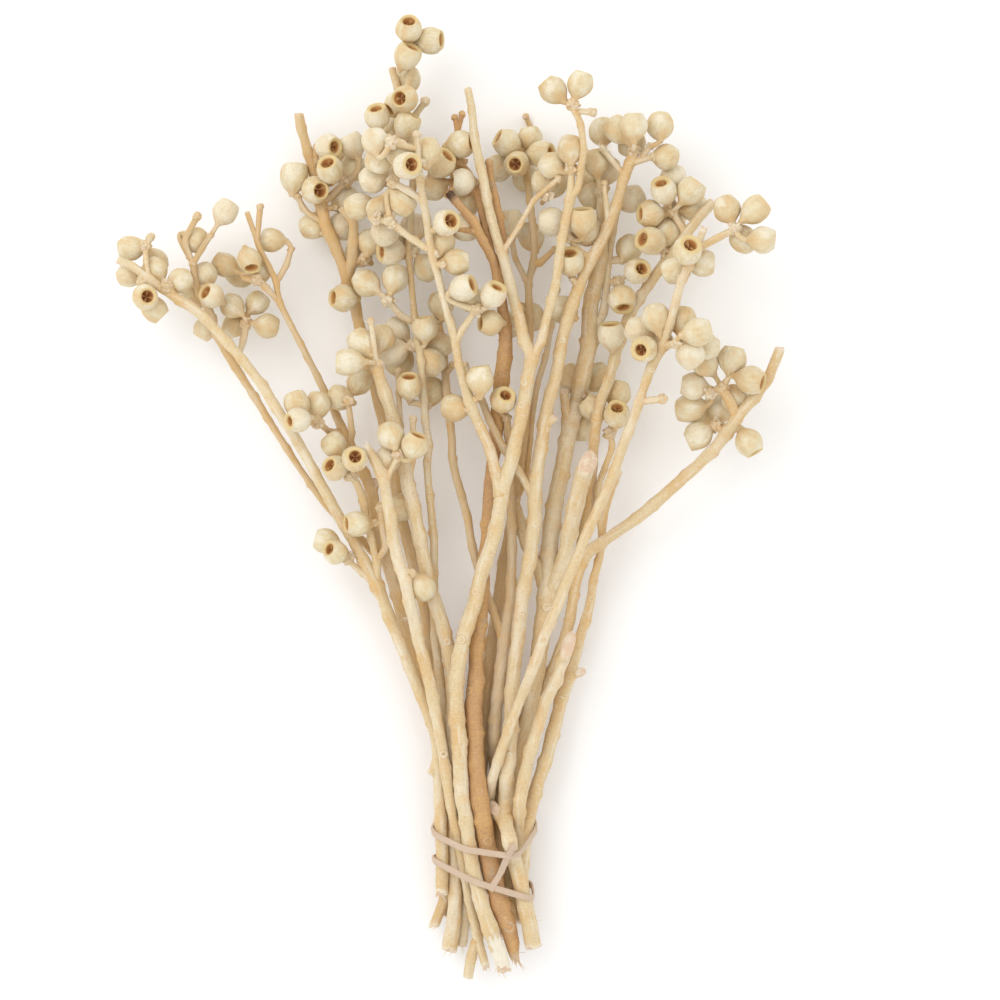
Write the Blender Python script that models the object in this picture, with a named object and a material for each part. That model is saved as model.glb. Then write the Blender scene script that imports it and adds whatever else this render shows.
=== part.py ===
"""A bunch of dried, bleached ambernut branches, held at the feet by a doubled rubber band, lying down.

Fifteen cut branches fan out from the tie. Each one carries side twigs that end in knobbly hubs, and the
hubs carry pear-shaped woody nuts with an open mouth. The bunch lies along Y, with its feet at -Y.
Every branch grows in one piece with its twigs and nuts, and the band is a piece of its own.
"""

import math

import bpy
import bmesh
import numpy as np
from mathutils import Vector

# The bunch is laid out on a square grid seen from above: x to the right, y towards the feet, with the size
# of a grid step in millimetres. Depths are in millimetres above the middle of the bunch.
GRID_STEP = 0.4663
GRID_MIDDLE = (500.0, 500.0)
VIEW_DISTANCE = 2200.0

# How the bunch rests: the height of its middle over the surface, and the slopes that lay it on two nuts and
# a foot. The shift centres it.
REST_HEIGHT = 26.3
SLOPE_ALONG = 0.0496
SLOPE_ACROSS = 0.0375
SHIFT = (23.38, -0.28)

# Sizes in millimetres: a nut's width, how far a nut that faces straight up stands over its hub, its stalk's
# width and radius, how far below the nut's middle the stalk ends, the hubs' width, and the shortest twig
# that gets a stem of its own.
NUT_WIDTH = 12.4
NUT_LIFT = 8.0
STALK_WIDTH = 2.6
STALK_RADIUS = 1.4
STALK_SEAT = 4.4
HUB_WIDTH = 6.0
SHORTEST_TWIG = 4.5

# The nut's turned profile, as (distance along its axis from its middle, radius), and the depth of its dished
# mouth.
NUT_PROFILE = ((-5.6, 2.6), (-0.4, 6.3), (4.9, 4.3))
MOUTH_DEPTH = 2.0

# The band: its width, its thickness, its clearance and how far along the bunch it feels the stems beneath.
BAND_WIDTH = 3.0
BAND_THICKNESS = 1.1
BAND_GAP = 0.5
BAND_REACH = 2.6

# The rows that the band ties and the column of their middle. Each turn has a row, a lean across and a lean
# in depth. The link is the strand that crosses between the turns, a step in front of them.
TIE_ROWS = (790.0, 905.0)
TIE_MIDDLE = 481.0
UPPER_TURN = (825.0, 0.0, 1.6)
LOWER_TURN = (873.0, 0.34, 0.55)
BAND_LINK = ((514.0, 842.0), (507.0, 855.0), (500.0, 872.0), (490.0, 888.0))
LINK_STEP = 0.3
BAND_STEPS = 44
HULL_STEPS = 24

# Sides of the faceted stems, which grow past each limit of radius, and of the nuts. The rounding widens a
# faceted tube to the middle of its round one.
SIDE_LIMITS = (1.5, 2.3)
STEM_SIDES = (4, 5, 6)
NUT_SIDES = 6
ROUNDING = 1.04

# How far a stem may stray from the straight before it keeps a point, in millimetres, the angle under which
# faces count as flat, in degrees, and the share of the triangles that is kept.
STRAIGHTNESS = 0.45
FLAT_ANGLE = 0.5
KEPT_SHARE = 0.7
UNION_SOLVER = "EXACT"
MM = 0.001

COLOURS = {
    "branch": (0.80, 0.70, 0.50),
    "brown": (0.62, 0.38, 0.20),
    "shaded": (0.70, 0.57, 0.37),
    "band": (0.58, 0.42, 0.26),
}

# The branches whose wood differs from the pale rest.
TINTS = {
    "brown_branch": "brown",
    "thin_brown_branch": "shaded",
    "left_back_branch": "shaded",
    "left_crown_branch": "shaded",
    "back_centre_branch": "shaded",
}
WOOD_ROUGHNESS = 0.75
BAND_ROUGHNESS = 0.6
SHARP_ANGLE = 50.0

# How the branches are bent clear of each other: the turns, the clearance between two branches and between a
# nut and its own branch in millimetres, the stiffness of stems and stalks, and the pull of the tie.
BENDING_TURNS = 180
PARTING_TURNS = 120
CLEARANCE = 0.7
NUT_GAP = 0.2
STEM_STIFFNESS = 0.45
STALK_STIFFNESS = 0.12
TIE_PULL = 0.05
SMALLEST_PUSH = 0.001

# The balls that stand in for the wood: their spacing in grid steps, the kinds, and those of a stalk as
# (share of the way from hub to nut, radius over the stalk's width).
BALL_SPACING = 5.0
STEM, STALK, NUT = 0, 1, 2
STALK_BALLS = ((0.22, 0.50), (0.42, 0.60))


def shoot(places, thick, rise=0.0, nuts=()):
    """One stem or twig: the places it passes, its widths, how far its end rises, and its nuts.

    A place is (x, y) on the grid, or (x, y, depth). The widths are in millimetres at even steps from the root
    to the end. A nut is (x, y, lean) or (x, y, lean, heading): the lean is the sine of its mouth's tilt to the
    viewer, 1 straight up, 0 level and -1 straight down, and the heading is the mouth's way seen from above,
    in degrees from the right, counted towards the top. Without a heading it faces away from its hub.
    """
    return {"places": places, "thick": thick, "rise": rise, "nuts": nuts}


def left_outer_branch():
    """The long front branch that arches out to the far left and ends in seven nuts."""
    return [
        shoot([(442, 894, 1), (442, 850, 2), (440, 800), (439, 765, 4), (437, 742), (432, 722), (424, 702),
               (415, 680), (406, 658), (399, 640), (391, 622), (384, 602), (378, 587, 9), (369, 572),
               (360, 554), (350, 536), (338, 515), (328, 497), (318, 479), (308, 460), (297, 441, 10),
               (287, 424), (276, 408), (262, 385), (240, 357), (222, 337), (206, 319), (190, 306),
               (179, 300, 8), (163, 289), (151, 281), (133, 266), (118, 260, 6)],
              (6.1, 5.7, 5.6, 5.5, 4.9, 4.7, 4.7, 3.4)),
        shoot([(438, 762), (431, 774)], (4.6, 4.2)),
        shoot([(375, 584), (362, 573), (347, 559)], (3.0, 2.6), 2, [(335, 552, 0.75), (326, 541, -0.05, 165)]),
        shoot([(378, 585), (377, 565), (372, 540), (366, 518), (363, 500), (358, 485), (351, 476)],
              (3.6, 3.4), 4, [(355, 459, 0.97), (335, 468, 0.75), (334, 445, -0.2, 118)]),
        shoot([(377, 561), (386, 548), (382, 528), (380, 508)], (3.2, 3.2), 2),
        shoot([(382, 524), (374, 523)], (2.6, 2.6), 1, [(357, 524, 0.35, 180)]),
        shoot([(176, 298), (167, 286)], (3.4, 3.8), 1,
              [(155, 270, -0.4), (180, 281, -0.4), (154, 309, -0.1, 315)]),
        shoot([(151, 281), (143, 282)], (2.4, 2.6), 1, [(145, 297, 0.94, 5), (129, 275, -0.3, 200)]),
        shoot([(149, 279), (146, 260), (145, 246)], (2.4, 2.4), -1, [(131, 248, -0.3), (156, 261, -0.3)]),
        shoot([(145, 250), (150, 238)], (2.4, 3.2), 0),
    ]


def left_back_branch():
    """The branch behind it, which forks low down and bears the nuts of the left side."""
    return [
        shoot([(434, 926, -5), (446, 896), (449, 850, -3), (446, 790), (438, 735), (424, 675), (412, 645),
               (404, 625), (401, 612), (397, 595), (391, 575), (386, 558, -2), (378, 530), (374, 505),
               (371, 490), (364, 473), (349, 444), (336, 415, -8), (317, 376), (300, 343), (279, 302, -14),
               (276, 281), (259, 247), (247, 212, -14)],
              (4.9, 5.2, 5.2, 5.4, 5.6, 4.8, 3.1, 2.7, 2.4)),
        shoot([(387, 555), (372, 552), (362, 540), (342, 522), (328, 508), (316, 492), (294, 460), (280, 438),
               (247, 385), (227, 354), (216, 334), (210, 312), (199, 292), (194, 278), (193, 264)],
              (3.6, 3.0, 3.2, 4.0, 3.0), -8),
        shoot([(193, 264), (202, 248), (211, 235)], (2.8, 2.6), 1, [(225, 212, -0.25, 60)]),
        shoot([(193, 264), (184, 241), (197, 217)], (2.4, 3.0), 1),
        shoot([(192, 265), (189, 256)], (2.4, 2.4), 0, [(196, 240, -0.2, 335)]),
        shoot([(198, 291), (203, 288)], (2.6, 2.6), 1, [(205, 275, -0.4, 110)]),
        shoot([(206, 303), (207, 301)], (2.6, 2.6), 0, [(195, 297, -0.4), (212, 296, 0.6, 150)]),
        shoot([(217, 336), (214, 330)], (2.6, 2.6), 0, [(205, 329, -0.1, 240)]),
        shoot([(236, 366), (244, 339), (246, 323)], (2.8, 3.2), -2,
              [(232, 306, -0.3, 140), (257, 303, -0.3, 50), (267, 326, -0.2, 350), (235, 325, -0.4, 220)]),
        shoot([(257, 242), (260, 208)], (2.4, 2.8), 1),
        shoot([(277, 283), (287, 264), (291, 250)], (2.8, 2.6), -4, [(272, 240, -0.1, 175)]),
        shoot([(278, 302), (265, 286), (256, 279)], (3.0, 3.2), 1,
              [(225, 265, -0.3, 150), (249, 260, 0.45, 290), (240, 275, -0.4), (257, 272, -0.3, 20)]),
        shoot([(343, 431), (331, 433), (317, 422)], (2.8, 3.0), 15,
              [(318, 405, -0.4), (297, 404, -0.1, 110), (298, 420, 0.55, 190)]),
        shoot([(350, 447), (352, 433), (348, 401)], (3.0, 3.0), 6,
              [(359, 383, -0.5), (340, 398, -0.3, 160)]),
        shoot([(372, 496), (374, 483)], (4.4, 4.6), 0),
        shoot([(402, 620), (405, 622)], (4.8, 4.8), 2),
    ]


def left_front_branch():
    """The short branch in front on the left, with a torn double foot and a broken top."""
    return [
        shoot([(486, 967, 5), (478, 940), (474, 920), (469, 900), (466, 880), (462, 860), (458, 840, 6),
               (453, 816), (450, 800), (447, 780), (443, 752, 7), (437, 720), (433, 700), (429, 680),
               (424, 660), (418, 640), (414, 620, 12), (409, 600), (405, 580), (398, 560), (393, 540),
               (391, 520), (387, 500, 17), (384, 480), (376, 462), (367, 448, 18)],
              (3.6, 4.6, 4.4, 5.1, 5.3, 5.5, 5.4, 5.6, 4.2)),
        shoot([(476, 936), (471, 958), (468, 977)], (4.2, 3.4), -2),
        shoot([(401, 568), (412, 574)], (3.2, 3.0), 0, [(422, 587, -0.5)]),
        shoot([(384, 484), (391, 470), (398, 455)], (2.8, 2.6), 0, [(391, 436, -0.4), (415, 445, 0.4, 70)]),
        shoot([(381, 474), (385, 472)], (2.6, 2.6), 1, [(388, 459, -0.6, 80)]),
    ]


def left_crown_branch():
    """The shaded branch at the back on the left, with the nuts around its top."""
    return [
        shoot([(446, 915, -8), (452, 880), (460, 850, -7), (455, 800), (447, 740), (437, 680), (428, 640),
               (425, 615), (420, 590), (413, 563), (407, 540, -13), (402, 520), (397, 495), (394, 478),
               (383, 420), (378, 400), (373, 380), (366, 355), (360, 330, -16), (355, 305), (349, 288),
               (344, 268), (337, 250), (329, 235), (323, 215), (320, 200), (314, 172), (307, 148),
               (301, 128), (299, 114, -12)], (5.2, 5.2, 5.2, 5.2, 5.2, 5.2, 5.4, 4.8, 4.4)),
        shoot([(348, 282), (352, 262), (353, 240), (354, 222), (342, 208)], (4.6, 4.6, 4.0), 2),
        shoot([(314, 174), (316, 147)], (2.4, 2.0), 0),
        shoot([(325, 223), (311, 216), (303, 208), (298, 197)], (2.6, 3.0), 1, [(294, 177, -0.1, 85)]),
        shoot([(320, 202), (317, 200)], (2.6, 2.6), 1, [(315, 190, 0.85, 350)]),
        shoot([(313, 168), (317, 160)], (2.4, 2.4), 2, [(328, 147, 0.7, 355)]),
        shoot([(318, 188), (330, 184)], (2.4, 2.4), 2, [(330, 170, 0.75, 110)]),
        shoot([(321, 204), (332, 195), (345, 182)], (3.2, 3.4), -2,
              [(352, 145, -0.05, 115), (353, 168, -0.4, 60), (340, 158, -0.4)]),
        shoot([(322, 210), (335, 207)], (2.4, 2.4), -1, [(345, 201, -0.5)]),
        shoot([(331, 242), (333, 236)], (2.4, 2.4), -1, [(341, 227, -0.4)]),
        shoot([(328, 234), (323, 233)], (2.4, 2.4), -1, [(314, 226, -0.4, 190)]),
        shoot([(352, 296), (356, 299)], (2.4, 2.4), 1, [(343, 298, 0.4, 180)]),
        shoot([(350, 264), (364, 258)], (2.8, 3.0), 0, [(370, 241, -0.3, 80), (359, 254, -0.4)]),
    ]


def left_middle_branch():
    """The thick pale branch that ends in three nuts beside the left crown."""
    return [
        shoot([(449, 950, -1), (454, 920), (455, 900), (456, 860, 0), (453, 800), (453, 740), (453, 690),
               (451, 663, 3), (446, 640), (441, 620), (434, 600), (428, 580), (424, 560), (420, 540),
               (416, 520, 6), (413, 504), (408, 485), (404, 462), (400, 445), (393, 420), (387, 400),
               (380, 380), (376, 364, 8)],
              (7.4, 5.8, 5.6, 5.7, 6.2, 7.0, 6.2, 6.3, 6.2, 6.0, 5.4), 0,
              [(362, 344, -0.4, 130), (349, 362, -0.1, 180), (382, 338, -0.4)]),
        shoot([(377, 366), (374, 345), (371, 322)], (2.6, 2.6), 0),
        shoot([(412, 502), (409, 504)], (2.8, 2.8), 1, [(402, 507, -0.6, 230)]),
        shoot([(408, 485), (413, 460), (413, 420)], (3.0, 2.8), 0),
        shoot([(404, 456), (400, 425), (398, 372)], (2.8, 2.6), -4),
    ]


def slim_branch():
    """The slim branch that carries the highest column of nuts."""
    return [
        shoot([(462, 946, -3), (465, 922), (466, 890), (467, 850, 0), (458, 790), (447, 732), (441, 686),
               (435, 640), (434, 600, -2), (434, 560), (434, 540), (432, 520), (430, 500), (428, 480),
               (427, 462), (429, 445), (425, 420), (424, 400), (422, 380), (421, 360), (418, 340, 0),
               (415, 320), (413, 300), (411, 280), (408, 251), (410, 225), (413, 186, -2), (412, 150),
               (405, 115), (398, 90), (392, 68, -2)], (4.7, 4.6, 4.4, 4.0, 3.7, 3.5, 3.0, 3.0, 3.6)),
        shoot([(413, 324), (400, 315), (388, 300)], (3.2, 3.0), 3, [(366, 283, -0.4), (395, 278, -0.3, 75)]),
        shoot([(417, 349), (413, 345)], (3.4, 3.6), 1,
              [(394, 352, -0.3), (397, 331, -0.3), (425, 328, 0.15, 90), (439, 345, -0.4), (431, 362, -0.3),
               (400, 362, -0.4)]),
        shoot([(424, 405), (411, 402)], (2.8, 2.8), 1, [(409, 386, 0.5, 90)]),
        shoot([(424, 403), (428, 406)], (2.8, 2.8), -1, [(431, 392, -0.4)]),
        shoot([(409, 257), (413, 252)], (3.0, 3.2), 0,
              [(391, 251, 0.45, 185), (414, 228, -0.5, 100), (427, 268, -0.4), (399, 248, -0.5, 150)]),
        shoot([(405, 115), (407, 90), (411, 66), (414, 52)], (3.0, 3.0), 0,
              [(409, 29, 0.75, 90), (430, 41, 0.3, 5), (407, 56, 0.35, 60)]),
        shoot([(404, 110), (404, 96)], (2.8, 2.8), 0,
              [(408, 80, -0.3, 80), (397, 105, 0.3, 215), (405, 99, 0.85, 180)]),
        shoot([(411, 142), (402, 137)], (2.8, 2.8), 2, [(407, 124, 0.25, 55), (397, 129, -0.3, 150)]),
        shoot([(411, 142), (392, 133)], (2.8, 2.8), 1, [(377, 117, 0.55, 95)]),
        shoot([(408, 128), (415, 115), (425, 102)], (2.4, 3.2), 2),
    ]


def centre_branch():
    """The thick branch in front that forks into three and reaches up through the middle."""
    return [
        shoot([(504, 970, 7), (498, 950), (490, 928, 6), (481, 900), (473, 870), (470, 850, 8), (466, 820),
               (462, 798), (461, 780), (459, 740), (457, 720), (456, 700, 10), (456, 680), (459, 660),
               (463, 640), (469, 620), (475, 602), (480, 580), (486, 560), (493, 540), (498, 520, 12),
               (501, 500), (505, 480), (511, 462), (516, 440), (520, 425), (524, 400), (527, 380),
               (533, 357, 12), (524, 340), (520, 320), (514, 300), (509, 280), (504, 260), (497, 240),
               (492, 220), (487, 200), (484, 182), (480, 165), (474, 135), (472, 110), (468, 89, 8)],
              (7.4, 7.0, 6.4, 6.9, 7.2, 6.4, 6.4, 6.2, 5.4, 4.6, 4.2, 3.4)),
        shoot([(500, 500), (495, 470), (491, 452), (486, 440), (477, 420), (469, 400), (463, 380), (458, 360),
               (453, 330), (449, 320), (444, 300), (439, 280), (434, 262), (429, 240), (427, 220),
               (423, 200), (420, 180), (418, 160), (417, 135)],
              (5.4, 5.0, 4.8, 3.6, 3.5, 3.7, 3.4, 2.6), 5),
        shoot([(429, 252), (415, 241), (400, 230), (390, 221)], (3.4, 3.4), 3,
              [(379, 210, -0.4, 250), (402, 202, -0.35, 315)]),
        shoot([(391, 224), (376, 219)], (2.6, 2.8), -1, [(359, 206, -0.3, 195), (384, 232, -0.4)]),
        shoot([(422, 201), (407, 190), (393, 183)], (3.4, 3.2), 2, [(373, 179, -0.35, 195), (387, 172, -0.4)]),
        shoot([(418, 149), (391, 143)], (2.8, 3.0), 1,
              [(375, 141, -0.3, 100), (398, 152, -0.3, 310), (379, 159, -0.3, 250)]),
        shoot([(421, 178), (414, 172)], (2.8, 2.8), 1, [(407, 166, 0.9, 10)]),
        shoot([(420, 165), (423, 162)], (2.8, 2.8), 0, [(427, 151, -0.2, 90)]),
        shoot([(430, 258), (436, 254)], (2.8, 2.8), 1, [(441, 243, -0.6, 80)]),
        shoot([(427, 232), (437, 229)], (2.8, 2.8), 1, [(446, 223, 0.85, 20)]),
        shoot([(434, 265), (443, 264)], (2.8, 2.8), 0, [(457, 262, -0.05, 0)]),
        shoot([(456, 344), (462, 330), (476, 310)], (3.0, 3.2), 2,
              [(463, 288, 0.35, 20), (493, 295, 0.5, 60), (471, 300, -0.4)]),
        shoot([(473, 401), (480, 396)], (2.8, 2.8), 1, [(480, 379, 0.1, 90)]),
        shoot([(475, 409), (468, 410)], (2.8, 2.8), 1, [(455, 408, -0.4, 175)]),
        shoot([(533, 360), (542, 340), (546, 320), (551, 303), (556, 282), (559, 260), (562, 238), (570, 200),
               (572, 170)], (4.6, 4.0, 4.2, 4.0, 4.2, 3.0), -2, [(571, 149, -0.4, 90), (552, 166, -0.4, 150)]),
        shoot([(570, 200), (578, 188), (584, 150), (581, 124), (572, 105)], (3.2, 3.0), 2,
              [(553, 90, -0.1, 135), (580, 84, -0.1, 70)]),
        shoot([(575, 111), (592, 112)], (2.6, 3.2), 1),
        shoot([(509, 251), (518, 228), (534, 200), (558, 179)], (2.6, 2.4), -2),
        shoot([(543, 192), (547, 195)], (2.4, 2.4), 0, [(545, 184, -0.4, 100), (553, 184, -0.4, 60)]),
    ]


def brown_branch():
    """The orange-brown branch with a ringed knot near its foot and a burnt end."""
    return [
        shoot([(515, 960, 4), (512, 942), (507, 922), (500, 905), (494, 883), (488, 852, 7), (483, 820),
               (479, 800), (477, 780), (476, 760), (475, 740), (474, 720), (473, 702, 5), (476, 680),
               (476, 660), (478, 640), (481, 610), (484, 560, 1), (487, 540), (488, 520), (489, 500),
               (491, 475), (495, 445), (497, 415), (502, 380), (504, 360), (506, 340, 1), (503, 310),
               (498, 280), (493, 258), (482, 240), (474, 222), (463, 210), (449, 193, 4)],
              (4.6, 8.8, 8.0, 8.4, 7.8, 8.4, 6.8, 6.4, 6.2, 5.9, 5.7, 6.3, 7.2, 5.6, 4.2, 4.0, 3.6)),
        shoot([(491, 256), (488, 238), (483, 220), (479, 200), (475, 185), (469, 173), (460, 163)],
              (3.6, 3.0), -3, [(441, 164, 0.4, 50), (461, 144, 0.35, 5)]),
        shoot([(477, 191), (472, 190)], (2.8, 2.8), 0, [(462, 182, 0.3, 180), (469, 200, -0.4)]),
        shoot([(452, 200), (448, 195)], (2.6, 2.6), 0, [(434, 187, -0.3, 200)]),
        shoot([(476, 232), (473, 231)], (2.6, 2.6), 1, [(465, 227, -0.2, 0)]),
        shoot([(503, 326), (505, 326)], (2.8, 2.8), 0, [(490, 323, 0.35, 180), (509, 325, -0.4)]),
        shoot([(460, 163), (458, 145), (458, 131), (455, 118)], (2.6, 2.6), 0),
        shoot([(458, 131), (462, 115)], (2.2, 2.4), 0),
        shoot([(498, 280), (504, 252), (500, 225), (495, 200), (491, 180), (489, 163)], (4.6, 4.4, 3.0), -3),
    ]


def thin_brown_branch():
    """The tan branch behind it, with a slim side shoot."""
    return [
        shoot([(502, 936, 0), (500, 890), (500, 850, 0), (497, 790), (494, 740), (495, 720), (497, 700, -1),
               (502, 660), (504, 640), (507, 620), (510, 600), (511, 580), (512, 560), (512, 535),
               (511, 500, -5), (510, 455, -5), (508, 434), (507, 418, 5)],
              (5.0, 5.4, 6.0, 6.0, 5.6, 4.8, 4.2, 3.4), 0, [(503, 400, 0.85, 60)]),
        shoot([(503, 642), (497, 620), (488, 598), (476, 562), (471, 541), (468, 520), (463, 500),
               (457, 480), (452, 458), (452, 440), (450, 420), (447, 395), (445, 370), (444, 350),
               (438, 322)], (4.2, 4.0, 3.8, 3.7, 3.5, 3.2), -1, [(441, 305, -0.3, 95)]),
        shoot([(445, 375), (452, 366)], (2.4, 2.8), 0),
    ]


def tall_branch():
    """The tall branch that leans to the right and has a cut stub at the tie."""
    return [
        shoot([(534, 947, 3), (528, 920), (523, 900), (520, 880), (514, 860, 6), (509, 840), (505, 820),
               (506, 800), (506, 780), (509, 760, 3), (510, 740), (511, 720), (512, 690), (515, 660),
               (518, 640), (520, 620), (522, 600), (525, 580, 3), (530, 560), (532, 540), (535, 520),
               (535, 500), (536, 480), (539, 460), (542, 440), (545, 420), (549, 400), (555, 380, 1),
               (559, 360), (562, 340), (567, 320), (573, 302), (582, 280), (589, 262), (597, 250),
               (603, 238), (611, 220), (618, 200), (623, 180), (630, 163), (634, 152, 2)],
              (7.8, 6.4, 7.2, 6.2, 6.4, 6.1, 5.6, 5.2, 4.4)),
        shoot([(506, 826), (499, 817), (494, 808)], (5.4, 4.8), 1),
        shoot([(533, 500), (524, 480), (516, 468), (504, 449), (489, 420), (482, 400), (474, 383),
               (465, 366)], (3.8, 3.4), -1),
        shoot([(625, 176), (603, 149)], (2.8, 3.0), -1, [(602, 132, -0.4, 95)]),
        shoot([(630, 163), (652, 157)], (2.8, 3.0), 1, [(666, 157, -0.4, 0)]),
        shoot([(640, 160), (650, 146)], (2.6, 2.8), 0, [(660, 126, -0.4, 90)]),
        shoot([(632, 157), (634, 150)], (3.0, 3.2), 0,
              [(634, 126, -0.1, 90), (618, 130, -0.3), (632, 143, -0.4, 250)]),
        shoot([(592, 262), (575, 246), (568, 237)], (3.0, 3.2), 2,
              [(582, 221, 0.3, 90), (552, 222, -0.1, 175), (587, 232, -0.4)]),
        shoot([(608, 226), (604, 184)], (2.6, 2.4), 2),
        shoot([(547, 425), (555, 417)], (4.6, 4.0), 1),
        shoot([(581, 288), (573, 279)], (2.8, 2.8), 1, [(570, 262, 0.6, 95)]),
        shoot([(571, 312), (568, 313)], (2.6, 2.6), -1, [(564, 310, -0.4)]),
    ]


def cut_fork_branch():
    """The thick branch with one fork sawn off square, and nuts on the other."""
    return [
        shoot([(531, 925, -4), (523, 890), (515, 850, -2), (512, 800), (515, 759, 0), (521, 738), (526, 720),
               (532, 700), (536, 680), (539, 655), (543, 625), (546, 600), (548, 580, -3), (549, 555),
               (551, 530), (556, 500), (560, 480), (564, 460), (567, 440), (571, 420), (578, 400, -8),
               (582, 380), (586, 360), (590, 340), (590, 310), (592, 295), (597, 278), (601, 255),
               (603, 235), (600, 192, -8)], (6.0, 6.0, 6.2, 6.6, 8.2, 8.0, 7.8, 6.8, 7.8, 6.0, 3.6), 0,
              [(595, 162, -0.1, 100), (592, 182, -0.4), (607, 171, -0.3), (593, 196, -0.3)]),
        shoot([(549, 598), (556, 578), (565, 558), (568, 540), (572, 520), (577, 500), (581, 482),
               (588, 463)], (7.0, 6.6, 7.4, 8.0), 13),
        shoot([(566, 425), (566, 410), (564, 391)], (4.4, 4.4), 1),
        shoot([(588, 338), (597, 325), (604, 312), (606, 290), (608, 262), (612, 238), (617, 210)],
              (4.6, 3.4, 2.8), 1, [(631, 199, -0.3, 30)]),
        shoot([(609, 262), (616, 260)], (2.8, 2.8), 1, [(629, 249, -0.4, 60)]),
        shoot([(608, 282), (618, 282)], (2.8, 3.0), 1, [(637, 271, 0.85, 20), (622, 299, 0.5, 278)]),
        shoot([(578, 394), (583, 393)], (3.4, 3.6), 1,
              [(571, 379, -0.3, 120), (598, 378, -0.3, 45), (592, 407, 0.1, 140)]),
        shoot([(571, 412), (577, 413)], (2.6, 2.6), 0, [(584, 428, -0.2, 270)]),
        shoot([(546, 592), (537, 565), (527, 545), (519, 520), (513, 500)], (6.0, 5.6), -4),
    ]


def right_front_branch():
    """The straight pale branch in front on the right, with three groups of nuts."""
    return [
        shoot([(496, 925, 0), (491, 890), (488, 850, 0), (487, 820), (489, 800, 3), (492, 780), (498, 760),
               (505, 740, 10), (512, 720), (520, 700), (528, 680), (536, 660), (543, 640), (552, 618, 16),
               (560, 600), (567, 580), (576, 560), (584, 540), (593, 520), (602, 500), (611, 480),
               (618, 460), (625, 440), (633, 420), (640, 400, 18), (646, 380), (652, 366), (662, 348),
               (670, 325), (676, 300), (682, 280), (690, 262), (699, 242), (704, 228, 12)],
              (5.0, 5.0, 4.9, 4.9, 4.9, 4.9, 4.8, 4.2, 3.8, 3.2)),
        shoot([(664, 345), (665, 340)], (3.0, 3.2), 0,
              [(656, 318, -0.3, 100), (657, 340, -0.4, 170), (644, 349, 0.93, 200), (640, 331, -0.3)]),
        shoot([(664, 346), (678, 343)], (3.4, 3.6), 1,
              [(683, 321, -0.3, 80), (698, 332, -0.1, 12), (690, 354, -0.3, 300), (706, 346, -0.3)]),
        shoot([(695, 251), (710, 242), (735, 229)], (3.6, 3.4), 0,
              [(727, 209, -0.35, 110), (755, 210, -0.1, 40), (763, 240, -0.1, 0), (743, 239, -0.4)]),
        shoot([(691, 261), (689, 258)], (2.6, 2.6), 0, [(687, 251, 0.8, 60)]),
        shoot([(688, 267), (691, 267)], (2.6, 2.6), 0, [(702, 263, -0.1, 0)]),
        shoot([(683, 278), (681, 277)], (2.6, 2.6), 0, [(677, 270, -0.3, 200)]),
        shoot([(641, 402), (662, 399)], (3.0, 3.6), 1),
    ]


def right_outer_branch():
    """The branch that forks to the far right and to the crown of nuts above it."""
    return [
        shoot([(520, 922, -16), (511, 882, -9), (505, 850, -7), (514, 790), (530, 735), (546, 685), (556, 660),
               (563, 642), (570, 620, -9), (573, 600), (576, 580), (582, 562), (590, 550), (601, 543),
               (620, 530), (640, 516, -4), (660, 499), (680, 481), (700, 463), (713, 451), (726, 434, 0),
               (737, 417), (755, 397), (768, 379), (780, 349, 2)],
              (5.0, 5.0, 4.9, 4.8, 4.7, 4.8, 5.2, 5.5, 5.5, 5.2, 4.7)),
        shoot([(573, 594), (578, 560), (582, 540), (586, 520), (590, 500), (591, 480), (593, 455),
               (594, 440), (597, 420), (601, 400), (609, 380), (614, 360), (620, 340), (628, 318),
               (639, 298), (650, 283), (661, 268), (676, 250), (690, 229), (704, 211), (713, 202)],
              (4.8, 4.7, 4.7, 4.7, 5.0, 5.0, 4.6), 6),
        shoot([(738, 418), (731, 402), (722, 388)], (4.6, 4.4), 2,
              [(705, 363, 0.35, 128), (732, 359, -0.05, 80), (751, 380, 0.3, 345), (735, 398, -0.4)]),
        shoot([(722, 388), (710, 393)], (3.2, 3.2), 0, [(693, 386, -0.05, 172), (690, 408, -0.3, 190)]),
        shoot([(727, 433), (716, 426)], (3.0, 3.2), 1,
              [(698, 435, -0.05, 215), (721, 409, -0.4), (707, 414, -0.4, 250)]),
        shoot([(729, 430), (738, 428)], (3.0, 3.0), 0, [(749, 443, 0.15, 300)]),
        shoot([(686, 234), (680, 224), (672, 211)], (3.2, 3.4), 1,
              [(664, 191, 0.55, 115), (691, 191, 0.1, 50), (694, 208, -0.3), (650, 214, 0.35, 180),
               (672, 217, -0.4), (673, 180, -0.3)]),
        shoot([(664, 264), (664, 250)], (2.8, 3.0), 1, [(651, 241, 0.6, 170), (667, 234, -0.3, 60)]),
        shoot([(621, 340), (613, 350)], (2.8, 2.8), 0, [(611, 335, 0.35, 95)]),
    ]


def right_back_branch():
    """The branch behind on the right, with a short cut fork that starts at the tie."""
    return [
        shoot([(523, 920, 3), (521, 890), (523, 855, 4), (529, 815), (539, 780), (546, 760), (551, 740),
               (556, 720, -3), (561, 700), (568, 682), (573, 665), (579, 640), (586, 620, -7), (591, 600),
               (593, 580), (599, 560), (602, 540), (603, 520), (608, 500), (615, 480), (620, 470, -6)],
              (6.0, 6.0, 6.0, 6.1, 5.4, 4.0, 3.5, 3.2)),
        shoot([(521, 862), (518, 830), (520, 800), (524, 780), (528, 760), (534, 740), (540, 720), (546, 700),
               (556, 680), (561, 665), (568, 645)], (5.6, 5.8), 4),
        shoot([(572, 676), (581, 672)], (4.4, 4.4), 1),
        shoot([(603, 540), (597, 490), (606, 464), (613, 447), (609, 433)], (3.2, 2.8), 1,
              [(617, 415, 0.75, 90), (618, 394, -0.3, 80)]),
    ]


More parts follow.
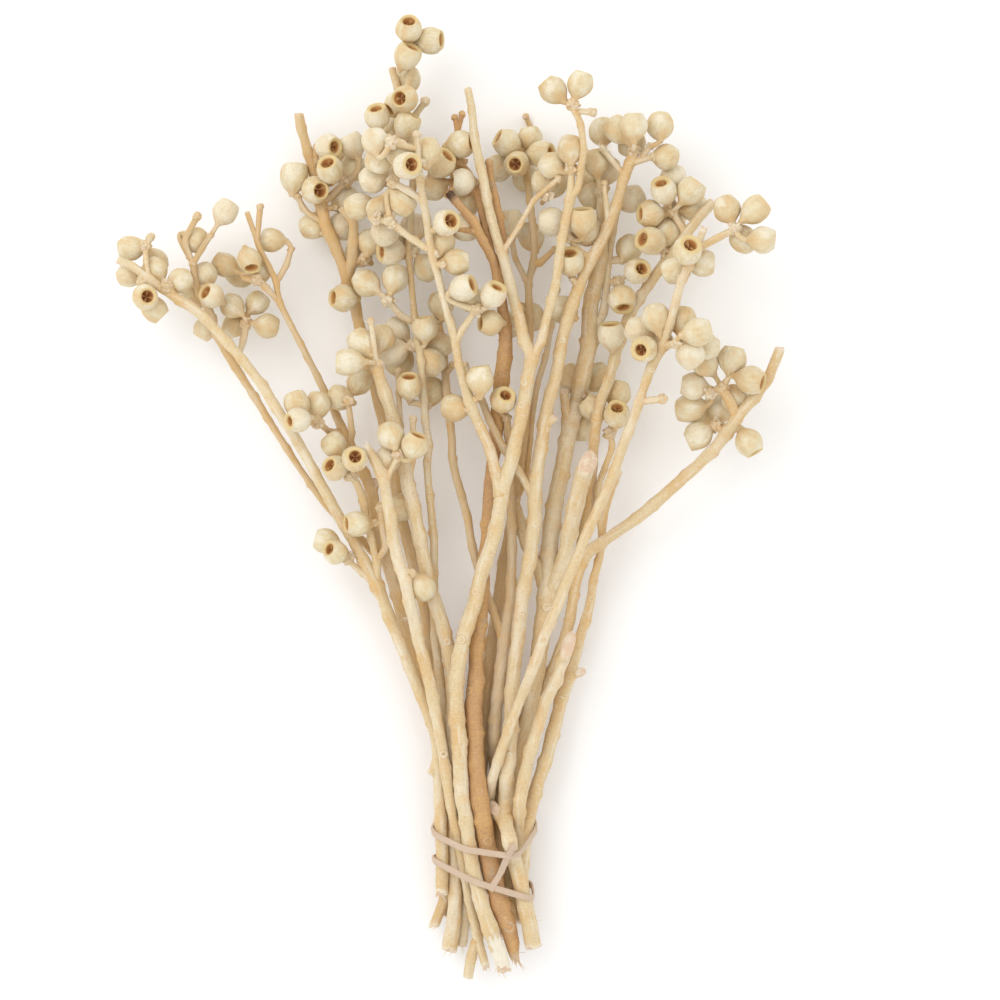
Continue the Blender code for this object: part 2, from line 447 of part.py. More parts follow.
def back_centre_branch():
    """The branch at the back of the middle, with a full head of six nuts."""
    return [
        shoot([(478, 925, -8), (480, 890), (478, 850, -7), (480, 780), (484, 735), (487, 698), (492, 640),
               (499, 600, -13), (501, 580), (504, 560), (512, 520), (520, 470), (525, 430), (530, 340, -17),
               (529, 301), (528, 282), (534, 262), (534, 238), (530, 200), (525, 160, -16)],
              (5.0, 5.2, 6.0, 5.8, 5.6, 4.4, 3.5, 3.3, 3.2, 3.2), 0,
              [(507, 143, 0.3, 150), (530, 138, -0.05, 95), (541, 154, 0.45, 0), (517, 164, 0.97),
               (499, 168, -0.1, 200), (525, 177, -0.4)]),
        shoot([(528, 284), (515, 259), (512, 240)], (2.8, 2.6), 0, [(511, 223, -0.1, 95)]),
        shoot([(526, 162), (531, 128), (526, 117)], (2.6, 2.6), -8),
        shoot([(534, 266), (541, 262), (554, 250)], (3.2, 2.8), 1),
        shoot([(534, 246), (533, 243)], (2.6, 2.6), 0, [(531, 237, -0.4)]),
        shoot([(529, 312), (530, 315)], (2.6, 2.6), 0, [(531, 316, -0.4)]),
        shoot([(520, 500), (526, 480), (530, 440), (532, 415), (537, 385), (546, 356), (552, 320),
               (557, 290)], (3.0, 2.6), -1),
    ]


BRANCHES = {
    "left_outer_branch": left_outer_branch,
    "left_back_branch": left_back_branch,
    "left_front_branch": left_front_branch,
    "left_crown_branch": left_crown_branch,
    "left_middle_branch": left_middle_branch,
    "slim_branch": slim_branch,
    "centre_branch": centre_branch,
    "brown_branch": brown_branch,
    "thin_brown_branch": thin_brown_branch,
    "tall_branch": tall_branch,
    "cut_fork_branch": cut_fork_branch,
    "right_front_branch": right_front_branch,
    "right_outer_branch": right_outer_branch,
    "right_back_branch": right_back_branch,
    "back_centre_branch": back_centre_branch,
}


def stations(points):
    """The distance along a run of points, in grid steps."""
    steps = np.diff(points[:, :2], axis=0)
    return np.concatenate(([0.0], np.cumsum(np.hypot(steps[:, 0], steps[:, 1]))))


def nearest_on(points, place):
    """The nearest point of a run of points: its segment, its share of the segment, and how far it is."""
    start = points[:-1, :2]
    run = points[1:, :2] - start
    share = np.clip(((place - start) * run).sum(1) / (run * run).sum(1), 0.0, 1.0)
    away = np.hypot(*(start + share[:, None] * run - place).T)
    segment = int(away.argmin())
    return segment, float(share[segment]), float(away[segment])


def main_points(places):
    """A main stem's points. Depths that aren't given follow from their neighbours along the stem."""
    points = np.array([(place[0], place[1], 0.0) for place in places])
    known = [index for index, place in enumerate(places) if len(place) == 3]
    run = stations(points)
    points[:, 2] = np.interp(run, run[known], [places[index][2] for index in known])
    return points


def side_points(places, rise, older):
    """A side shoot's points, and its root: the nearest point on the older shoots of its branch."""
    points = np.array([(place[0], place[1], 0.0) for place in places])
    found = [nearest_on(part["points"], points[0, :2]) for part in older]
    parent = int(np.argmin([item[2] for item in found]))
    segment, share = found[parent][:2]
    below, above = older[parent]["points"][segment:segment + 2]
    points[0] = below + share * (above - below)
    run = stations(points)
    points[:, 2] = points[0, 2] + rise * run / run[-1]
    return points, (parent, segment, share)


def nut_seats(hub, nuts):
    """The middle of each nut on a hub, and the way its mouth faces as (right, up, out of the picture)."""
    middles, ways = [], []
    for x, y, lean, *heading in nuts:
        turn = math.radians(heading[0]) if heading else math.atan2(hub[1] - y, x - hub[0])
        level = math.sqrt(1.0 - lean * lean)
        middles.append((x, y, hub[2] + NUT_LIFT * lean))
        ways.append((level * math.cos(turn), level * math.sin(turn), lean))
    return np.array(middles).reshape(-1, 3), np.array(ways).reshape(-1, 3)


def grow(name, shoots):
    """The shoots of one branch with their points, radii and roots, and their nuts with the ways they face."""
    grown = []
    for part in shoots:
        if grown:
            points, root = side_points(part["places"], part["rise"], grown)
        else:
            points, root = main_points(part["places"]), None
        run = stations(points)
        steps = np.linspace(0.0, run[-1], len(part["thick"]))
        radii = 0.5 * np.interp(run, steps, part["thick"])
        nuts, ways = nut_seats(points[-1], part["nuts"])
        grown.append({
            "branch": name, "points": points, "radii": radii, "root": root, "nuts": nuts, "ways": ways})
    return grown


def stand_in_balls(shoots):
    """Balls along every shoot, stalk and nut: (low point, high point, share, radius, branch, kind, body)."""
    balls = []
    first = 0
    for part in shoots:
        points, nuts = part["points"], part["nuts"]
        run = stations(points)
        spots = np.linspace(0.0, run[-1], max(2, int(run[-1] / BALL_SPACING) + 2))
        segment = np.clip(np.searchsorted(run, spots, side="right") - 1, 0, len(run) - 2)
        share = (spots - run[segment]) / (run[segment + 1] - run[segment])
        radius = np.interp(spots, run, part["radii"])
        for index in range(len(spots)):
            low = first + segment[index]
            balls.append((low, low + 1, share[index], radius[index], part["number"], STEM, first))
        hub = first + len(points) - 1
        for index in range(len(nuts)):
            own = hub + 1 + index
            for share_out, size in STALK_BALLS:
                balls.append((hub, own, share_out, size * STALK_WIDTH, part["number"], STALK, own))
            balls.append((hub, own, 1.0, 0.5 * NUT_WIDTH, part["number"], NUT, own))
        first = hub + 1 + len(nuts)
    return np.array(balls)


def close_pairs(spot, radius, family, kind):
    """Pairs of balls that overlap seen from above, with the difference in depth that parts them.

    Balls of two branches keep the clearance. Within a branch a nut keeps off the other nuts and the stems.
    """
    first, second, need = [], [], []
    for index in range(len(spot) - 1):
        rest = slice(index + 1, None)
        across = np.hypot(*(spot[rest, :2] - spot[index, :2]).T) * GRID_STEP
        reach = radius[rest] + radius[index]
        foreign = family[rest] != family[index]
        reach = np.where(foreign, reach + CLEARANCE, reach + NUT_GAP)
        apart = (kind[rest] + kind[index] >= NUT) & (kind[rest] != STALK) & (kind[index] != STALK)
        near = (across < reach) & (foreign | apart)
        found = np.nonzero(near)[0]
        first.append(np.full(len(found), index))
        second.append(found + index + 1)
        need.append(np.sqrt(reach[found] ** 2 - across[found] ** 2))
    return np.concatenate(first), np.concatenate(second), np.concatenate(need)


def sides_kept(rise, one, two, kind, body):
    """Which ball of each pair stays on top: 1 for the first and -1 for the second.

    It is the one that lies higher in the layout. A nut stays on one side of a whole stem, by their mean.
    """
    _, group = np.unique(body[one] * (body.max() + 1) + body[two], return_inverse=True)
    mean = np.bincount(group, rise) / np.bincount(group)
    with_nut = (kind[one] == NUT) | (kind[two] == NUT)
    return np.where(np.where(with_nut, mean[group], rise) >= 0.0, 1.0, -1.0)


def springs(shoots):
    """Links between neighbouring points with their stiffness, and the roots that side shoots hold on to."""
    links, stiffness, roots, starts = [], [], [], {}
    first = 0
    for part in shoots:
        count, nuts = len(part["points"]), len(part["nuts"])
        hub = first + count - 1
        links += [(step, step + 1) for step in range(first, hub)]
        links += [(hub, hub + 1 + index) for index in range(nuts)]
        stiffness += [STEM_STIFFNESS] * (count - 1) + [STALK_STIFFNESS] * nuts
        siblings = starts.setdefault(part["branch"], [])
        siblings.append(first)
        if part["root"]:
            parent, segment, share = part["root"]
            roots.append((first, siblings[parent] + segment, share))
        first += count + nuts
    return np.array(links), np.array(stiffness), roots


def bend_clear(shoots):
    """Bends the branches apart in depth alone, until none shares space with another, with a snug tie.

    In each turn the tied rows draw together, every bend spreads to its neighbours, and each pair of balls
    that is too close moves apart. The last turns only move pairs apart.
    """
    places = np.concatenate([np.vstack((part["points"], part["nuts"])) for part in shoots])
    balls = stand_in_balls(shoots)
    low, high, family, kind, body = (balls[:, column].astype(int) for column in (0, 1, 4, 5, 6))
    share, radius = balls[:, 2], balls[:, 3]
    spot = places[low] * (1.0 - share)[:, None] + places[high] * share[:, None]
    one, two, need = close_pairs(spot, radius, family, kind)
    side = sides_kept(spot[one, 2] - spot[two, 2], one, two, kind, body)
    links, stiffness, roots = springs(shoots)
    held = np.maximum(np.bincount(links.ravel(), np.repeat(stiffness, 2), len(places)), 0.5)
    tied = (places[:, 1] > TIE_ROWS[0]) & (places[:, 1] < TIE_ROWS[1])
    start = places[:, 2].copy()
    depth = start.copy()
    for turn in range(BENDING_TURNS + PARTING_TURNS):
        if turn < BENDING_TURNS:
            depth[tied] *= 1.0 - TIE_PULL
            moved = depth - start
            change = stiffness * (moved[links[:, 1]] - moved[links[:, 0]])
            pull = np.bincount(links[:, 0], change, len(depth)) - np.bincount(links[:, 1], change, len(depth))
            depth += 0.5 * pull / held
        ball = depth[low] * (1.0 - share) + depth[high] * share
        short = np.maximum(need - side * (ball[one] - ball[two]), 0.0)
        push, times = np.zeros(len(depth)), np.zeros(len(depth))
        for index, sign in ((one, 1.0), (two, -1.0)):
            for carrier, part_share in ((low, 1.0 - share), (high, share)):
                amount = part_share[index] * (short > SMALLEST_PUSH)
                push += np.bincount(carrier[index], sign * side * short * amount, len(depth))
                times += np.bincount(carrier[index], amount, len(depth))
        depth += 0.5 * push / np.maximum(times, 1e-6) * np.minimum(1.0, 2.0 * times)
        for root, below, part_share in roots:
            carried = depth[below] * (1.0 - part_share) + depth[below + 1] * part_share
            gap = 0.5 * (depth[root] - carried)
            depth[below] += gap * (1.0 - part_share)
            depth[below + 1] += gap * part_share
            depth[root] = depth[below] * (1.0 - part_share) + depth[below + 1] * part_share
    first = 0
    for part in shoots:
        for key in ("points", "nuts"):
            last = first + len(part[key])
            part[key][:, 2] = depth[first:last]
            first = last


def placed(points):
    """Grid places with depths, in millimetres in the part's own frame.

    The sideways places narrow a little with height, so that each one shows where the grid has it when it is
    seen from VIEW_DISTANCE above the middle of the grid.
    """
    x = (points[:, 0] - GRID_MIDDLE[0]) * GRID_STEP
    y = (GRID_MIDDLE[1] - points[:, 1]) * GRID_STEP
    rise = points[:, 2] + SLOPE_ACROSS * x + SLOPE_ALONG * y
    narrowing = 1.0 - rise / VIEW_DISTANCE
    return np.column_stack((x * narrowing + SHIFT[0], y * narrowing + SHIFT[1], rise + REST_HEIGHT))


def unit(vectors):
    """The same directions at length one."""
    return vectors / np.linalg.norm(vectors, axis=-1, keepdims=True)


def square_directions(points):
    """Directions along a run of points, and two directions square to each, carried along without a twist."""
    steps = unit(np.diff(points, axis=0))
    along = unit(np.vstack((steps[:1], steps[:-1] + steps[1:], steps[-1:])))
    start = np.cross(along[0], (0.0, 0.0, 1.0) if abs(along[0, 2]) < 0.9 else (1.0, 0.0, 0.0))
    sides = [start / np.linalg.norm(start)]
    for direction in along[1:]:
        side = sides[-1] - direction * (sides[-1] @ direction)
        sides.append(side / np.linalg.norm(side))
    sides = np.array(sides)
    return along, sides, np.cross(along, sides)


def ring_faces(rings, sides):
    """Triangles between neighbouring rings of points, which run from the first ring to the last."""
    faces = []
    for ring in range(rings - 1):
        for side in range(sides):
            a, b = ring * sides + side, ring * sides + (side + 1) % sides
            faces += [(a, b, b + sides), (a, b + sides, a + sides)]
    return faces


def cap_faces(first, sides, turned):
    """Triangles that close a ring, fanned from its first point, turned round for the starting end."""
    fan = [(first, first + side, first + side + 1) for side in range(1, sides - 1)]
    return [face[::-1] for face in fan] if turned else fan


def thinned(points, radii):
    """Leaves out the points that a straight run between their neighbours passes within STRAIGHTNESS."""
    kept = [0, len(points) - 1]
    spans = [(0, len(points) - 1)]
    while spans:
        first, last = spans.pop()
        if last - first < 2:
            continue
        line = unit(points[last] - points[first])
        inner = points[first + 1:last] - points[first]
        away = np.linalg.norm(inner - np.outer(inner @ line, line), axis=1)
        if away.max() > STRAIGHTNESS:
            middle = first + 1 + int(away.argmax())
            kept.append(middle)
            spans += [(first, middle), (middle, last)]
    kept = sorted(kept)
    return points[kept], radii[kept]


def tube(points, radii, sides):
    """A faceted tube along a run of points, with flat ends."""
    along, right, up = square_directions(points)
    turn = np.arange(sides) * 2.0 * math.pi / sides
    ring = np.cos(turn)[None, :, None] * right[:, None] + np.sin(turn)[None, :, None] * up[:, None]
    vertices = (points[:, None] + ROUNDING * radii[:, None, None] * ring).reshape(-1, 3)
    faces = ring_faces(len(points), sides)
    faces += cap_faces(0, sides, True) + cap_faces((len(points) - 1) * sides, sides, False)
    return vertices, faces


def nut(middle, way):
    """A nut turned about the way it faces, with a flat base and a dished mouth."""
    _, right, up = square_directions(np.array((middle, middle + way)))
    turn = np.arange(NUT_SIDES) * 2.0 * math.pi / NUT_SIDES
    ring = np.cos(turn)[:, None] * right[0] + np.sin(turn)[:, None] * up[0]
    rings = [middle + way * distance + radius * ring for distance, radius in NUT_PROFILE]
    mouth = middle + way * (NUT_PROFILE[-1][0] - MOUTH_DEPTH)
    vertices = np.vstack(rings + [mouth[None]])
    faces = ring_faces(len(rings), NUT_SIDES) + cap_faces(0, NUT_SIDES, True)
    last = (len(rings) - 1) * NUT_SIDES
    faces += [(last + side, last + (side + 1) % NUT_SIDES, last + NUT_SIDES) for side in range(NUT_SIDES)]
    return vertices, faces


def stalk(hub, middle, way):
    """The three-sided stalk from a hub into the base of its nut."""
    return tube(np.array((hub, middle - STALK_SEAT * way)), np.full(2, STALK_RADIUS), 3)


def hub_knob(middle):
    """The swollen hub that several stalks grow from, an eight-sided knob."""
    points = 0.5 * HUB_WIDTH * np.vstack((np.eye(3), -np.eye(3)))
    faces = [(0, 1, 2), (1, 3, 2), (3, 4, 2), (4, 0, 2), (1, 0, 5), (3, 1, 5), (4, 3, 5), (0, 4, 5)]
    return points + middle, faces


def branch_solids(shoots):
    """The overlapping solids of one branch: its stem, side shoots, hubs and nuts."""
    solids = []
    for part in shoots:
        sides = STEM_SIDES[int(np.searchsorted(SIDE_LIMITS, part["radii"][0]))]
        points, radii = thinned(placed(part["points"]), part["radii"])
        middles = placed(part["nuts"])
        length = np.linalg.norm(points[-1] - points[0])
        if len(middles) == 0 or length > SHORTEST_TWIG:
            solids.append(tube(points, radii, sides))
        if len(middles) > 1:
            solids.append(hub_knob(points[-1]))
        root = points[-1] if length > SHORTEST_TWIG else points[0]
        for middle, way in zip(middles, part["ways"]):
            solids += [stalk(root, middle, way), nut(middle, way)]
    return solids


def tied_surface(shoots, margin):
    """Points all round the stems near the tie, in millimetres, a margin off their surface."""
    turn = np.arange(HULL_STEPS) * 2.0 * math.pi / HULL_STEPS
    circle = np.column_stack((np.cos(turn), np.zeros(HULL_STEPS), np.sin(turn)))
    surface = []
    for part in shoots:
        run = stations(part["points"])
        spots = np.arange(0.0, run[-1], 1.0)
        grid = np.column_stack([np.interp(spots, run, column) for column in part["points"].T])
        radii = ROUNDING * np.interp(spots, run, part["radii"]) + margin
        near = (grid[:, 1] > TIE_ROWS[0]) & (grid[:, 1] < TIE_ROWS[1])
        middles = placed(grid[near])
        surface.append((middles[:, None] + radii[near][:, None, None] * circle).reshape(-1, 3))
    return np.concatenate(surface)


def turn_height(turn, x, z):
    """Where the leaning plane of one turn of the band lies along the bunch, in millimetres."""
    row, lean_across, lean_depth = turn
    middle = placed(np.array([(TIE_MIDDLE, row, 0.0)]))[0]
    return middle[1] - lean_across * (x - middle[0]) - lean_depth * GRID_STEP * (z - middle[2])


def outline_round(spots):
    """The tight outline round a set of flat points: their convex hull, left-handed."""
    spots = sorted(set(map(tuple, spots)))
    halves = []
    for run in (spots, spots[::-1]):
        half = []
        for spot in run:
            while len(half) > 1 and turns_right(half[-2], half[-1], spot):
                half.pop()
            half.append(spot)
        halves += half[:-1]
    return np.array(halves)


def turns_right(first, second, third):
    """Whether three points turn clockwise, or run straight on."""
    across = (second[0] - first[0]) * (third[1] - first[1])
    return across - (second[1] - first[1]) * (third[0] - first[0]) <= 0.0


def band_path(surface, turn):
    """The middle line of one turn of the band: it hugs the tied stems in its own leaning plane."""
    away = np.abs(surface[:, 1] - turn_height(turn, surface[:, 0], surface[:, 2]))
    outline = outline_round(surface[away < BAND_REACH][:, (0, 2)])
    closed = np.vstack((outline, outline[:1]))
    run = np.concatenate(([0.0], np.cumsum(np.hypot(*np.diff(closed, axis=0).T))))
    spots = np.arange(BAND_STEPS) * run[-1] / BAND_STEPS
    x, z = (np.interp(spots, run, closed[:, column]) for column in (0, 1))
    return np.column_stack((x, turn_height(turn, x, z), z))


def strip(points, outward, closed):
    """A flat strip along a run of points, square in section, either closed in a ring or with two ends."""
    if closed:
        along = unit(np.roll(points, -1, axis=0) - np.roll(points, 1, axis=0))
    else:
        along = unit(np.gradient(points, axis=0))
    outward = unit(outward - along * (outward * along).sum(1, keepdims=True))
    across = np.cross(along, outward)
    corners = ((0.5, 0.5), (0.5, -0.5), (-0.5, -0.5), (-0.5, 0.5))
    rings = [points + outward * BAND_THICKNESS * high + across * BAND_WIDTH * wide for wide, high in corners]
    vertices = np.stack(rings, axis=1).reshape(-1, 3)
    faces = ring_faces(len(points), 4)
    if closed:
        count = len(vertices)
        faces += [tuple(index % count for index in face)
                  for face in ((a + count - 4, b + count - 4, c + count - 4)
                               for a, b, c in ring_faces(2, 4))]
    else:
        faces += cap_faces(0, 4, True) + cap_faces(len(vertices) - 4, 4, False)
    return vertices, faces


def band_solids(shoots):
    """The doubled band: an upper and a lower turn, joined by the strand that crosses between them."""
    surface = tied_surface(shoots, BAND_GAP + 0.5 * BAND_THICKNESS)
    solids, fronts = [], []
    for turn in (UPPER_TURN, LOWER_TURN):
        path = band_path(surface, turn)
        outward = np.roll(path, -1, axis=0) - np.roll(path, 1, axis=0)
        outward = np.column_stack((outward[:, 2], np.zeros(len(path)), -outward[:, 0]))
        solids.append(strip(path, outward, True))
        front = path[path[:, 2] > path[:, 2].mean()]
        fronts.append(front[front[:, 0].argsort()])
    link = placed(np.array([(x, y, 0.0) for x, y in BAND_LINK]))
    for spot in link:
        near = np.hypot(*(surface[:, :2] - spot[:2]).T) < BAND_REACH
        spot[2] = surface[near, 2].max()
    for end, front in ((0, fronts[0]), (-1, fronts[1])):
        link[end, 2] = max(link[end, 2], np.interp(link[end, 0], front[:, 0], front[:, 2]) + LINK_STEP)
    solids.append(strip(link, np.tile((0.0, 0.0, 1.0), (len(link), 1)), False))
    return solids


def mesh_object(name, vertices, faces, origin):
    """An object whose mesh has its places in metres from the object's own origin."""
    mesh = bpy.data.meshes.new(name)
    mesh.from_pydata((np.asarray(vertices) * MM - origin).tolist(), [], faces)
    made = bpy.data.objects.new(name, mesh)
    made.location = origin
    return made


def fused(name, solids):
    """One closed body from overlapping solids, by a Boolean union on the collection that holds them."""
    origin = np.asarray(solids[0][0][0]) * MM
    body = mesh_object(name, *solids[0], origin)
    bpy.context.scene.collection.objects.link(body)
    pieces = bpy.data.collections.new(name + "_pieces")
    bpy.context.scene.collection.children.link(pieces)
    for vertices, faces in solids[1:]:
        pieces.objects.link(mesh_object(name + "_piece", vertices, faces, origin))
    join = body.modifiers.new("Join", "BOOLEAN")
    join.operation = "UNION"
    join.operand_type = "COLLECTION"
    join.collection = pieces
    join.solver = UNION_SOLVER
    graph = bpy.context.evaluated_depsgraph_get()
    body_mesh = bpy.data.meshes.new_from_object(body.evaluated_get(graph))
    body.modifiers.clear()
    body.data = body_mesh
    for piece in list(pieces.objects):
        bpy.data.objects.remove(piece, do_unlink=True)
    bpy.data.collections.remove(pieces)
    return body


def keep_outer_shell(body):
    """Fills the hollows that the union sealed and drops loose scraps, which leaves one closed shell."""
    mesh = bmesh.new()
    mesh.from_mesh(body.data)
    left = set(mesh.verts)
    shells = []
    while left:
        shell, reached = set(), [left.pop()]
        while reached:
            vertex = reached.pop()
            shell.add(vertex)
            fresh = {edge.other_vert(vertex) for edge in vertex.link_edges} & left
            left -= fresh
            reached += fresh
        shells.append(shell)
    shells.sort(key=len)
    loose = [vertex for shell in shells[:-1] for vertex in shell]
    bmesh.ops.delete(mesh, geom=loose, context="VERTS")
    mesh.to_mesh(body.data)
    mesh.free()


def slimmed(body):
    """Joins the flat faces that the union split, and collapses its smallest triangles."""
    mesh = bmesh.new()
    mesh.from_mesh(body.data)
    flat = math.radians(FLAT_ANGLE)
    bmesh.ops.dissolve_limit(mesh, angle_limit=flat, verts=mesh.verts[:], edges=mesh.edges[:])
    bmesh.ops.triangulate(mesh, faces=mesh.faces[:])
    mesh.to_mesh(body.data)
    mesh.free()
    fewer = body.modifiers.new("Fewer", "DECIMATE")
    fewer.ratio = KEPT_SHARE
    graph = bpy.context.evaluated_depsgraph_get()
    slim = bpy.data.meshes.new_from_object(body.evaluated_get(graph))
    body.modifiers.clear()
    body.data = slim


def rest_flat(body):
    """Cuts off what reaches below the surface, which leaves small flat spots to rest on."""
    mesh = bmesh.new()
    mesh.from_mesh(body.data)
    everything = mesh.verts[:] + mesh.edges[:] + mesh.faces[:]
    surface = Vector((0.0, 0.0, 0.0)) - body.location
    cut = bmesh.ops.bisect_plane(
        mesh, geom=everything, plane_co=surface, plane_no=(0.0, 0.0, 1.0), clear_inner=True)
    rim = [item for item in cut["geom_cut"] if isinstance(item, bmesh.types.BMEdge)]
    bmesh.ops.holes_fill(mesh, edges=rim, sides=0)
    mesh.to_mesh(body.data)
    mesh.free()


def finish_material(name, colour, roughness):
    """A plain Principled material in a part's own colour."""
    material = bpy.data.materials.new(name)
    material.use_nodes = True
    shader = material.node_tree.nodes["Principled BSDF"]
    shader.inputs["Base Color"].default_value = (*colour, 1.0)
    shader.inputs["Roughness"].default_value = roughness
    shader.inputs["Metallic"].default_value = 0.0
    return material


def dress(body, colour, roughness):
    """Gives a body its own material and shades its round faces smooth."""
    body.data.materials.clear()
    body.data.materials.append(finish_material(body.name + "_finish", colour, roughness))
    body.data.shade_smooth()
    body.data.set_sharp_from_angle(angle=math.radians(SHARP_ANGLE))


def clear_scene():
    """Removes whatever the file already holds."""
    for item in list(bpy.data.objects):
        bpy.data.objects.remove(item, do_unlink=True)


def main():
    """Lays out the bunch, bends its branches clear of each other and builds every piece."""
    clear_scene()
    shoots = []
    for number, (name, layout) in enumerate(BRANCHES.items()):
        for part in grow(name, layout()):
            part["number"] = number
            shoots.append(part)
    bend_clear(shoots)
    bunch = bpy.data.objects.new("bunch", None)
    bpy.context.scene.collection.objects.link(bunch)
    for name in BRANCHES:
        body = fused(name, branch_solids([part for part in shoots if part["branch"] == name]))
        keep_outer_shell(body)
        slimmed(body)
        rest_flat(body)
        dress(body, COLOURS[TINTS.get(name, "branch")], WOOD_ROUGHNESS)
        body.parent = bunch
    band = fused("rubber_band", band_solids(shoots))
    dress(band, COLOURS["band"], BAND_ROUGHNESS)
    band.parent = bunch


main()
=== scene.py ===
"""Finishes a packed bunch of dried ambernut branches: fine bark, open woody nuts and the rubber band.

Each branch is built as closed skins: tubes carried along its stem and twigs, a nut turned about each stalk,
knobbly hubs, leaf scars and torn feet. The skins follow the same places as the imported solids.
"""

import math

import bpy
import numpy as np
from bpy.props import FloatProperty, FloatVectorProperty, IntProperty, PointerProperty
from bpy.types import Operator, Panel, PropertyGroup
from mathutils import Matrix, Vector


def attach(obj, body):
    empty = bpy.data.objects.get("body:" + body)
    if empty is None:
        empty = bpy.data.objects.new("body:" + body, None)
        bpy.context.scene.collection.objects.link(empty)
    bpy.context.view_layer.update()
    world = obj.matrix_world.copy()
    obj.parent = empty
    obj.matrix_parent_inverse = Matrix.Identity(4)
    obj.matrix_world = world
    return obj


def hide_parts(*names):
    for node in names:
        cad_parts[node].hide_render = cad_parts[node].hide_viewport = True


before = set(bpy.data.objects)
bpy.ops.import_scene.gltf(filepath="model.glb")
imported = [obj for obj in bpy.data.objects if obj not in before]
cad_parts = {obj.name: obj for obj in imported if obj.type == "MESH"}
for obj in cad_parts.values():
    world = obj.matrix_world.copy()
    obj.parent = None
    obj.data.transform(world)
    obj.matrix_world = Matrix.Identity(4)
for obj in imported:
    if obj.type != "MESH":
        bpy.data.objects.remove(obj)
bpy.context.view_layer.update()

bl_info = {
    "name": "Dried Ambernut Bunch",
    "version": (1, 0, 0),
    "blender": (4, 5, 0),
    "location": "View3D > Sidebar > Ambernut",
    "description": "Builds a bunch of dried ambernut branches tied with a rubber band",
    "category": "Add Mesh",
}

MM = 0.001

# The bunch is laid out on a square grid seen from above: x to the right, y towards the feet, with the size
# of a grid step in millimetres. Depths are in millimetres above the middle of the bunch. The slopes and the
# shift lay the bunch down on its three low points.
GRID_STEP = 0.4663
GRID_MIDDLE = (500.0, 500.0)
GRID_SPAN = 1000.0
VIEW_DISTANCE = 2200.0
REST_HEIGHT = 26.3
SLOPE_ALONG = 0.0496
SLOPE_ACROSS = 0.0375
SHIFT = (23.38, -0.28)

# How the branches bend clear of each other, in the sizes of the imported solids.
NUT_WIDTH = 12.4
NUT_LIFT = 8.0
STALK_WIDTH = 2.6
BENDING_TURNS = 180
PARTING_TURNS = 120
CLEARANCE = 0.7
NUT_GAP = 0.2
STEM_STIFFNESS = 0.45
STALK_STIFFNESS = 0.12
TIE_PULL = 0.05
SMALLEST_PUSH = 0.001
BALL_SPACING = 5.0
STEM, STALK, NUT = 0, 1, 2
STALK_BALLS = ((0.22, 0.50), (0.42, 0.60))

# The band's clearance and reach, the rows that it ties, its two leaning turns (row, lean across, lean in
# depth), the places of the strand between them, and the steps and sides of its skin.
BAND_GAP = 0.5
BAND_REACH = 2.6
TIE_ROWS = (790.0, 905.0)
TIE_MIDDLE = 481.0
UPPER_TURN = (825.0, 0.0, 1.6)
LOWER_TURN = (873.0, 0.34, 0.55)
BAND_LINK = ((514.0, 842.0), (507.0, 855.0), (500.0, 872.0), (490.0, 888.0))
LINK_STEP = 0.3
HULL_STEPS = 24
ROUNDING = 1.04
BAND_STEPS = 44
BAND_STEP = 0.8
BAND_SIDES = 16
BAND_CORNERS = 0.45
BAND_WAVES = (2, 3, 5)

# The kind of bark on the branches that aren't pale, each kind's slot in the record, and how worn and how
# bleached it is. The shaded tan kind, on the branches that lie at the back, is darker partly for their own
# tan and partly as painted shade.
BARKS = {
    "brown_branch": "brown",
    "thin_brown_branch": "tan",
    "left_back_branch": "tan",
    "left_crown_branch": "tan",
    "back_centre_branch": "tan",
}
WEAR = {"pale": (0.1, 1.0), "tan": (0.2, 0.6), "brown": (0.7, 0.12)}

# The width of a branch's nuts over the usual width, where they differ.
NUT_SHARES = {
    "left_outer_branch": 0.94,
    "left_back_branch": 0.93,
    "right_outer_branch": 1.04,
    "right_front_branch": 1.04,
    "tall_branch": 1.03,
}

# The finish of a face, as its place in a branch's list of materials.
BARK, SHELL, INSIDE, CUT = 0, 1, 2, 3

# The nut's turned profile from its neck to its rim: (distance along its axis from its middle, radius), in
# shares of its half width, the rim's height likewise, and how far the last rings spread on a flared nut. It
# has so many rings below the shoulder and above it, and its ridges are waves so many times round.
BODY_PROFILE = ((-1.34, 0.20), (-1.18, 0.25), (-1.02, 0.38), (-0.82, 0.61), (-0.56, 0.82), (-0.28, 0.96),
                (0.0, 1.0), (0.24, 0.98), (0.46, 0.91), (0.66, 0.81), (0.84, 0.71))
RIM_HEIGHT = 0.86
MOUTH_FLARE = np.array((0.3, 0.6, 1.0, 1.0))
SHOULDER = 4
NECK_RINGS = 7
BODY_RINGS = 12
NUT_SIDES = 26
NUT_WAVES = (4, 6, 7, 9)

# The rings of a nut's lip and hollow: millimetres below the rim, the radius in shares of the wall's and of
# the mouth's and in millimetres more, how dark its painted shade is, deeper towards the bottom, how high the
# valves stand on it in millimetres, and how yellow it is. The valves are ridges, a high power of a cosine.
HOLLOW_RINGS = np.array((
    (0.04, 1.0, 0.0, -0.16, 0.0, 0.0, 1.0),
    (0.12, 0.6, 0.4, 0.0, 0.0, 0.0, 1.0),
    (0.34, 0.0, 1.0, 0.3, 0.0, 0.0, 1.0),
    (0.8, 0.0, 1.0, 0.0, 0.05, 0.0, 0.5),
    (2.0, 0.0, 1.05, 0.0, 0.25, 0.0, 0.0),
    (3.4, 0.0, 1.0, 0.0, 0.55, 0.9, 0.0),
    (4.2, 0.0, 0.8, 0.0, 0.85, 1.6, 0.0),
    (4.2, 0.0, 0.45, 0.0, 1.0, 2.2, 0.0),
    (4.2, 0.0, 0.15, 0.0, 1.0, 2.3, 0.0),
))
LIP_RINGS = 4
VALVE_RINGS = 4
VALVE_POWER = 12

